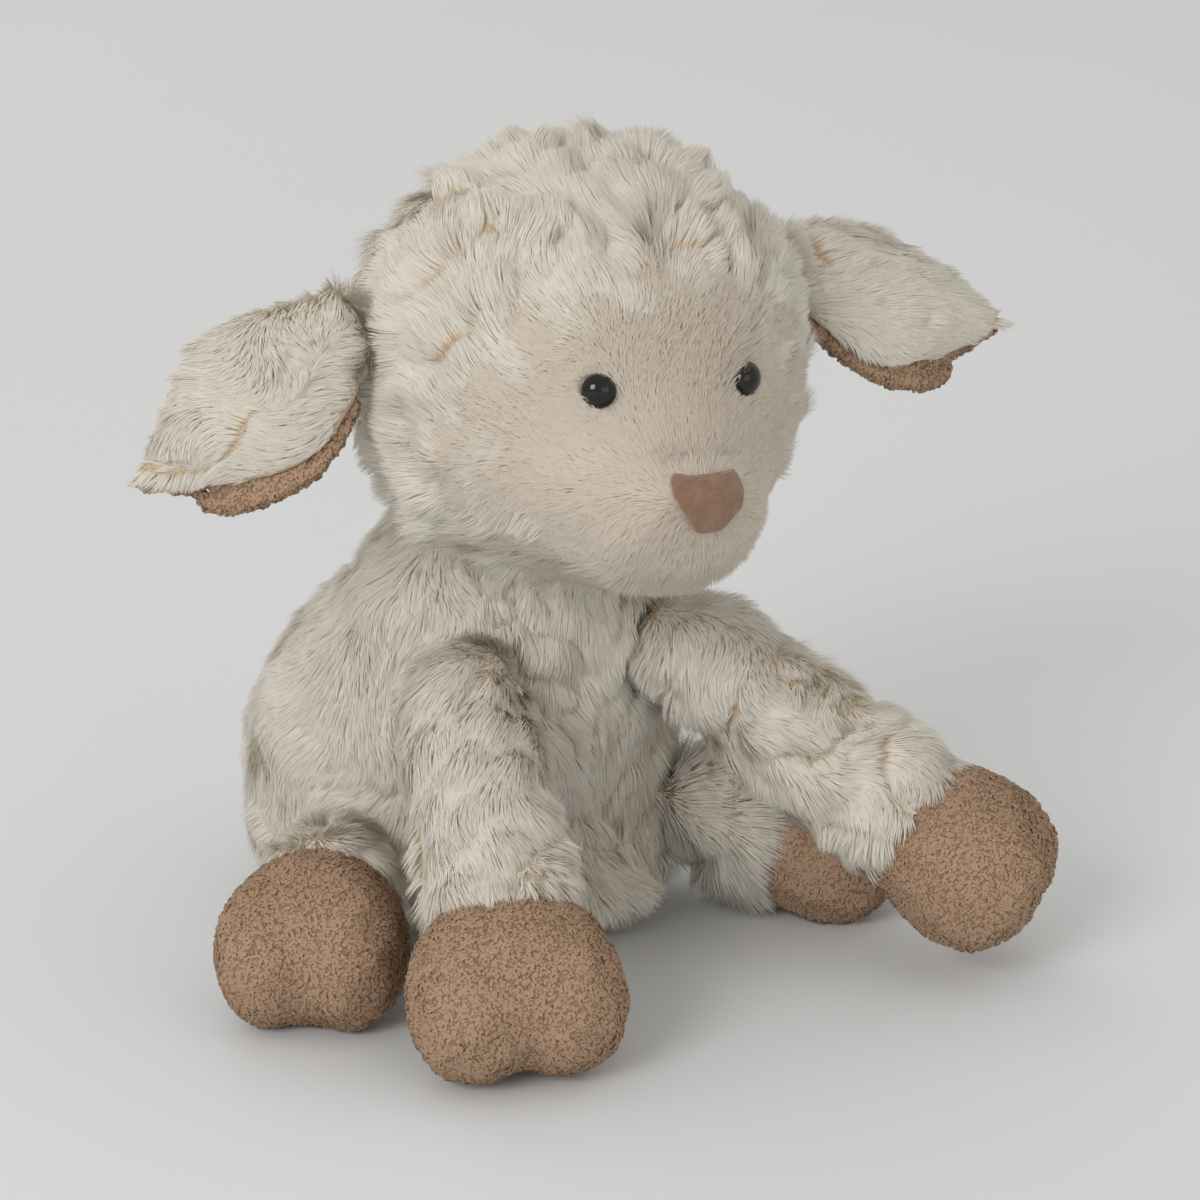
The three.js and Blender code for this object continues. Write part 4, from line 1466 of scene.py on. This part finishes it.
@dataclass
class Tail:
    """The tail, all long pile."""

    seed: int = 91
    inset: float = 3.6 * MM
    pile: Pile = Pile(length=8.5 * MM, width=0.34 * MM, density=3.4e6)

    def build(self, shop: Workshop) -> None:
        """Makes the tail's pieces.

        Args:
            shop: the shared tools.
        """
        skin = shop.skin("tail", self.inset, ("torso",))
        cloth = shop.backing("tail_cloth", skin, "tail", "tail")
        roots = shop.roots(skin, self.pile, self.seed, self.way, ("torso",))
        shop.wool("tail_pile", roots, self.pile, self.seed, "tail")

    def way(self, points: Array) -> Array:
        """The tail's pile is brushed to its tip."""
        return np.array([0.0, 1.0, -0.5])


@dataclass
class Inside:
    """What the cloth hides: fillings, the pellet pouch and the eye washers."""

    FINISH = {"fill": "stuffing", "pouch": "pouch cloth", "washer": "washer plastic"}

    def build(self, shop: Workshop) -> None:
        """Gives the hidden nodes their finishes.

        Args:
            shop: the shared tools.
        """
        for name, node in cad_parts.items():
            for word, finish in self.FINISH.items():
                if name.endswith(word):
                    node.data.materials.clear()
                    node.data.materials.append(shop.wardrobe.get(finish))


@dataclass
class Eye:
    """One glossy button eye."""

    name: str
    around: int = 48
    rings: int = 14
    rim_share: float = 0.98
    stalk_depth: float = 0.5 * MM
    shoulder: float = 1.2 * MM
    bevels: tuple = ((0.8, 1.0 * MM), (1.0, 0.3 * MM))

    def build(self, shop: Workshop) -> None:
        """Turns the eye on its own axis.

        Args:
            shop: the shared tools.
        """
        verts = Surface.of_nodes(self.name).verts
        middle = verts.mean(axis=0)
        spread, axes = np.linalg.eigh(np.cov((verts - middle).T))
        odd = int(np.argmax(np.abs(spread - np.median(spread))))
        axis = axes[:, odd]
        axis = axis * (1 if axis[1] < 0 else -1)
        out = (verts - middle) @ axis
        wide = np.linalg.norm((verts - middle) - np.outer(out, axis), axis=1)
        radius, front, rear = wide.max(), out.max(), out.min()
        rim = out[wide > self.rim_share * radius].mean()
        stalk = wide[out < rear + self.stalk_depth].max()
        profile = [(stalk, rear), (stalk, rim - self.shoulder)]
        profile += [(share * radius, rim - depth) for share, depth in self.bevels]
        angles = np.linspace(0, math.pi / 2, self.rings)
        profile += [(radius * math.cos(a), rim + (front - rim) * math.sin(a)) for a in angles[:-1]]
        side = unit(np.cross(axis, [0.0, 0.0, 1.0]))
        turn = np.linspace(0, 2 * math.pi, self.around, endpoint=False)
        ring = np.outer(np.cos(turn), side) + np.outer(np.sin(turn), np.cross(side, axis))
        points = [middle + r * ring + h * axis for r, h in profile]
        points = np.concatenate(points + [[middle + rear * axis, middle + front * axis]])
        eye = Surface(points, np.array(self.triangles(len(profile)), np.int32))
        shop.piece(f"{self.name}_button", eye.mesh(), "eye gloss", "head", "eye_gloss", self.name)

    def triangles(self, rows: int) -> list[tuple[int, int, int]]:
        """Joins the rings of the profile, and closes both ends round a point each.

        Args:
            rows: how many rings there are.

        Returns:
            The triangles.
        """
        n, last, tris = self.around, rows * self.around, []
        for row in range(rows - 1):
            for k in range(n):
                a, b = row * n + k, row * n + (k + 1) % n
                tris += [(a, b, b + n), (a, b + n, a + n)]
        for k in range(n):
            after = (k + 1) % n
            tris += [(last, after, k), (last + 1, last - n + k, last - n + after)]
        return tris


@dataclass
class Studio:
    """Camera, lamps, floor and sky."""

    azimuth: float = -30.0
    elevation: float = 16.5
    distance: float = 1.150
    lens: float = 119.0
    sensor: float = 36.0
    nearest: float = 0.01
    target: tuple = (0.0251, -0.0405, 0.0975)
    floor_reach: float = 9.0
    floor_sides: int = 64
    floor_shine: float = 0.1
    paler: float = 0.99
    sky_colour: tuple = (1.0, 0.975, 0.93, 1.0)
    sky_strength: float = 0.66

    LAMPS = (
        ("key", (-2.45, -1.58, 1.45), 1.25, 44.0),
        ("fill", (0.4, -2.8, 0.3), 1.8, 9.0),
        ("rim", (0.2, 2.3, 1.9), 1.6, 7.0),
    )

    def build(self) -> None:
        """Makes the camera, the lamps, the floor and the world."""
        for make in (self.camera, self.lamps, self.floor, self.sky):
            make()

    def camera(self) -> None:
        """Stands the camera where the photograph was taken."""
        a, e = math.radians(self.azimuth), math.radians(self.elevation)
        back = Vector((math.sin(a) * math.cos(e), -math.cos(a) * math.cos(e), math.sin(e)))
        right = Vector((math.cos(a), math.sin(a), 0.0))
        place = Vector(self.target) + back * self.distance
        data = bpy.data.cameras.new("camera")
        data.lens, data.sensor_width, data.clip_start = self.lens, self.sensor, self.nearest
        camera = bpy.data.objects.new("camera", data)
        rows = zip(right, back.cross(right), back, place)
        camera.matrix_world = Matrix([*rows, (0.0, 0.0, 0.0, 1.0)])
        bpy.context.scene.collection.objects.link(camera)
        bpy.context.scene.camera = camera

    def lamps(self) -> None:
        """Hangs the soft boxes: a key at the upper left, a fill at the right and one behind."""
        for name, place, size, power in self.LAMPS:
            data = bpy.data.lights.new(name, "AREA")
            data.size, data.energy = size, power
            lamp = bpy.data.objects.new(name, data)
            lamp.location = place
            lamp.rotation_euler = (Vector(place) - Vector(self.target)).to_track_quat("Z", "Y").to_euler()
            bpy.context.scene.collection.objects.link(lamp)

    def floor(self) -> None:
        """Lays a wide pale floor under the seat."""
        mesh = bpy.data.meshes.new("floor")
        turn = np.linspace(0, 2 * math.pi, self.floor_sides, endpoint=False)
        verts = [(self.floor_reach * math.cos(t), self.floor_reach * math.sin(t), 0.0) for t in turn]
        mesh.from_pydata(verts, [], [tuple(range(self.floor_sides))])
        floor = bpy.data.objects.new("floor", mesh)
        material, tree, shader = new_material("paper floor")
        grain = ranged(tree, noise_of(tree, 3.0, 2.0), 0.0, 1.0)
        paper = Tone.FLOOR_PAPER
        colour = mix_colours(tree, grain, paper.rgba(), paper.rgba(self.paler))
        feed(shader, {"Base Color": colour, "Roughness": 0.9, "Specular IOR Level": self.floor_shine})
        mesh.materials.append(material)
        bpy.context.scene.collection.objects.link(floor)

    def sky(self) -> None:
        """Lights the room evenly, and shows the paper's grey behind the floor."""
        world = bpy.data.worlds.new("room")
        bpy.context.scene.world = world
        world.use_nodes = True
        tree = world.node_tree
        tree.nodes.clear()
        light = add_node(tree, "Background", {"Color": self.sky_colour, "Strength": self.sky_strength})
        seen = add_node(tree, "Background", {"Color": Tone.PAPER.rgba()})
        ray = add_node(tree, "LightPath").outputs["Is Camera Ray"]
        mix = add_node(tree, "MixShader", {0: ray, 1: light.outputs[0], 2: seen.outputs[0]})
        add_node(tree, "OutputWorld", {"Surface": mix.outputs[0]})


def main() -> None:
    """Builds the studio, then each sub-assembly of the lamb."""
    logging.basicConfig(level=logging.INFO, format="%(message)s")
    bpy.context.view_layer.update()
    bpy.context.scene.view_settings.view_transform = "Standard"
    Studio().build()
    shop = Workshop(Wardrobe(Groups(pile_colour_group(), nub_group())))
    parts = (
        Inside(), Torso(), Head(), Eye("left_eye"), Eye("right_eye"), Ear("left_ear", 51), Ear("right_ear", 57),
        Leg("left_foreleg", 61, drop=1.2), Leg("right_foreleg", 67),
        Leg("left_hindleg", 71, extra=3 * MM, inset=1.4 * MM), Leg("right_hindleg", 77), Tail(),
    )
    for part in parts:
        part.build(shop)
        log.info("built %s", type(part).__name__)


if __name__ == "__main__":
    main()
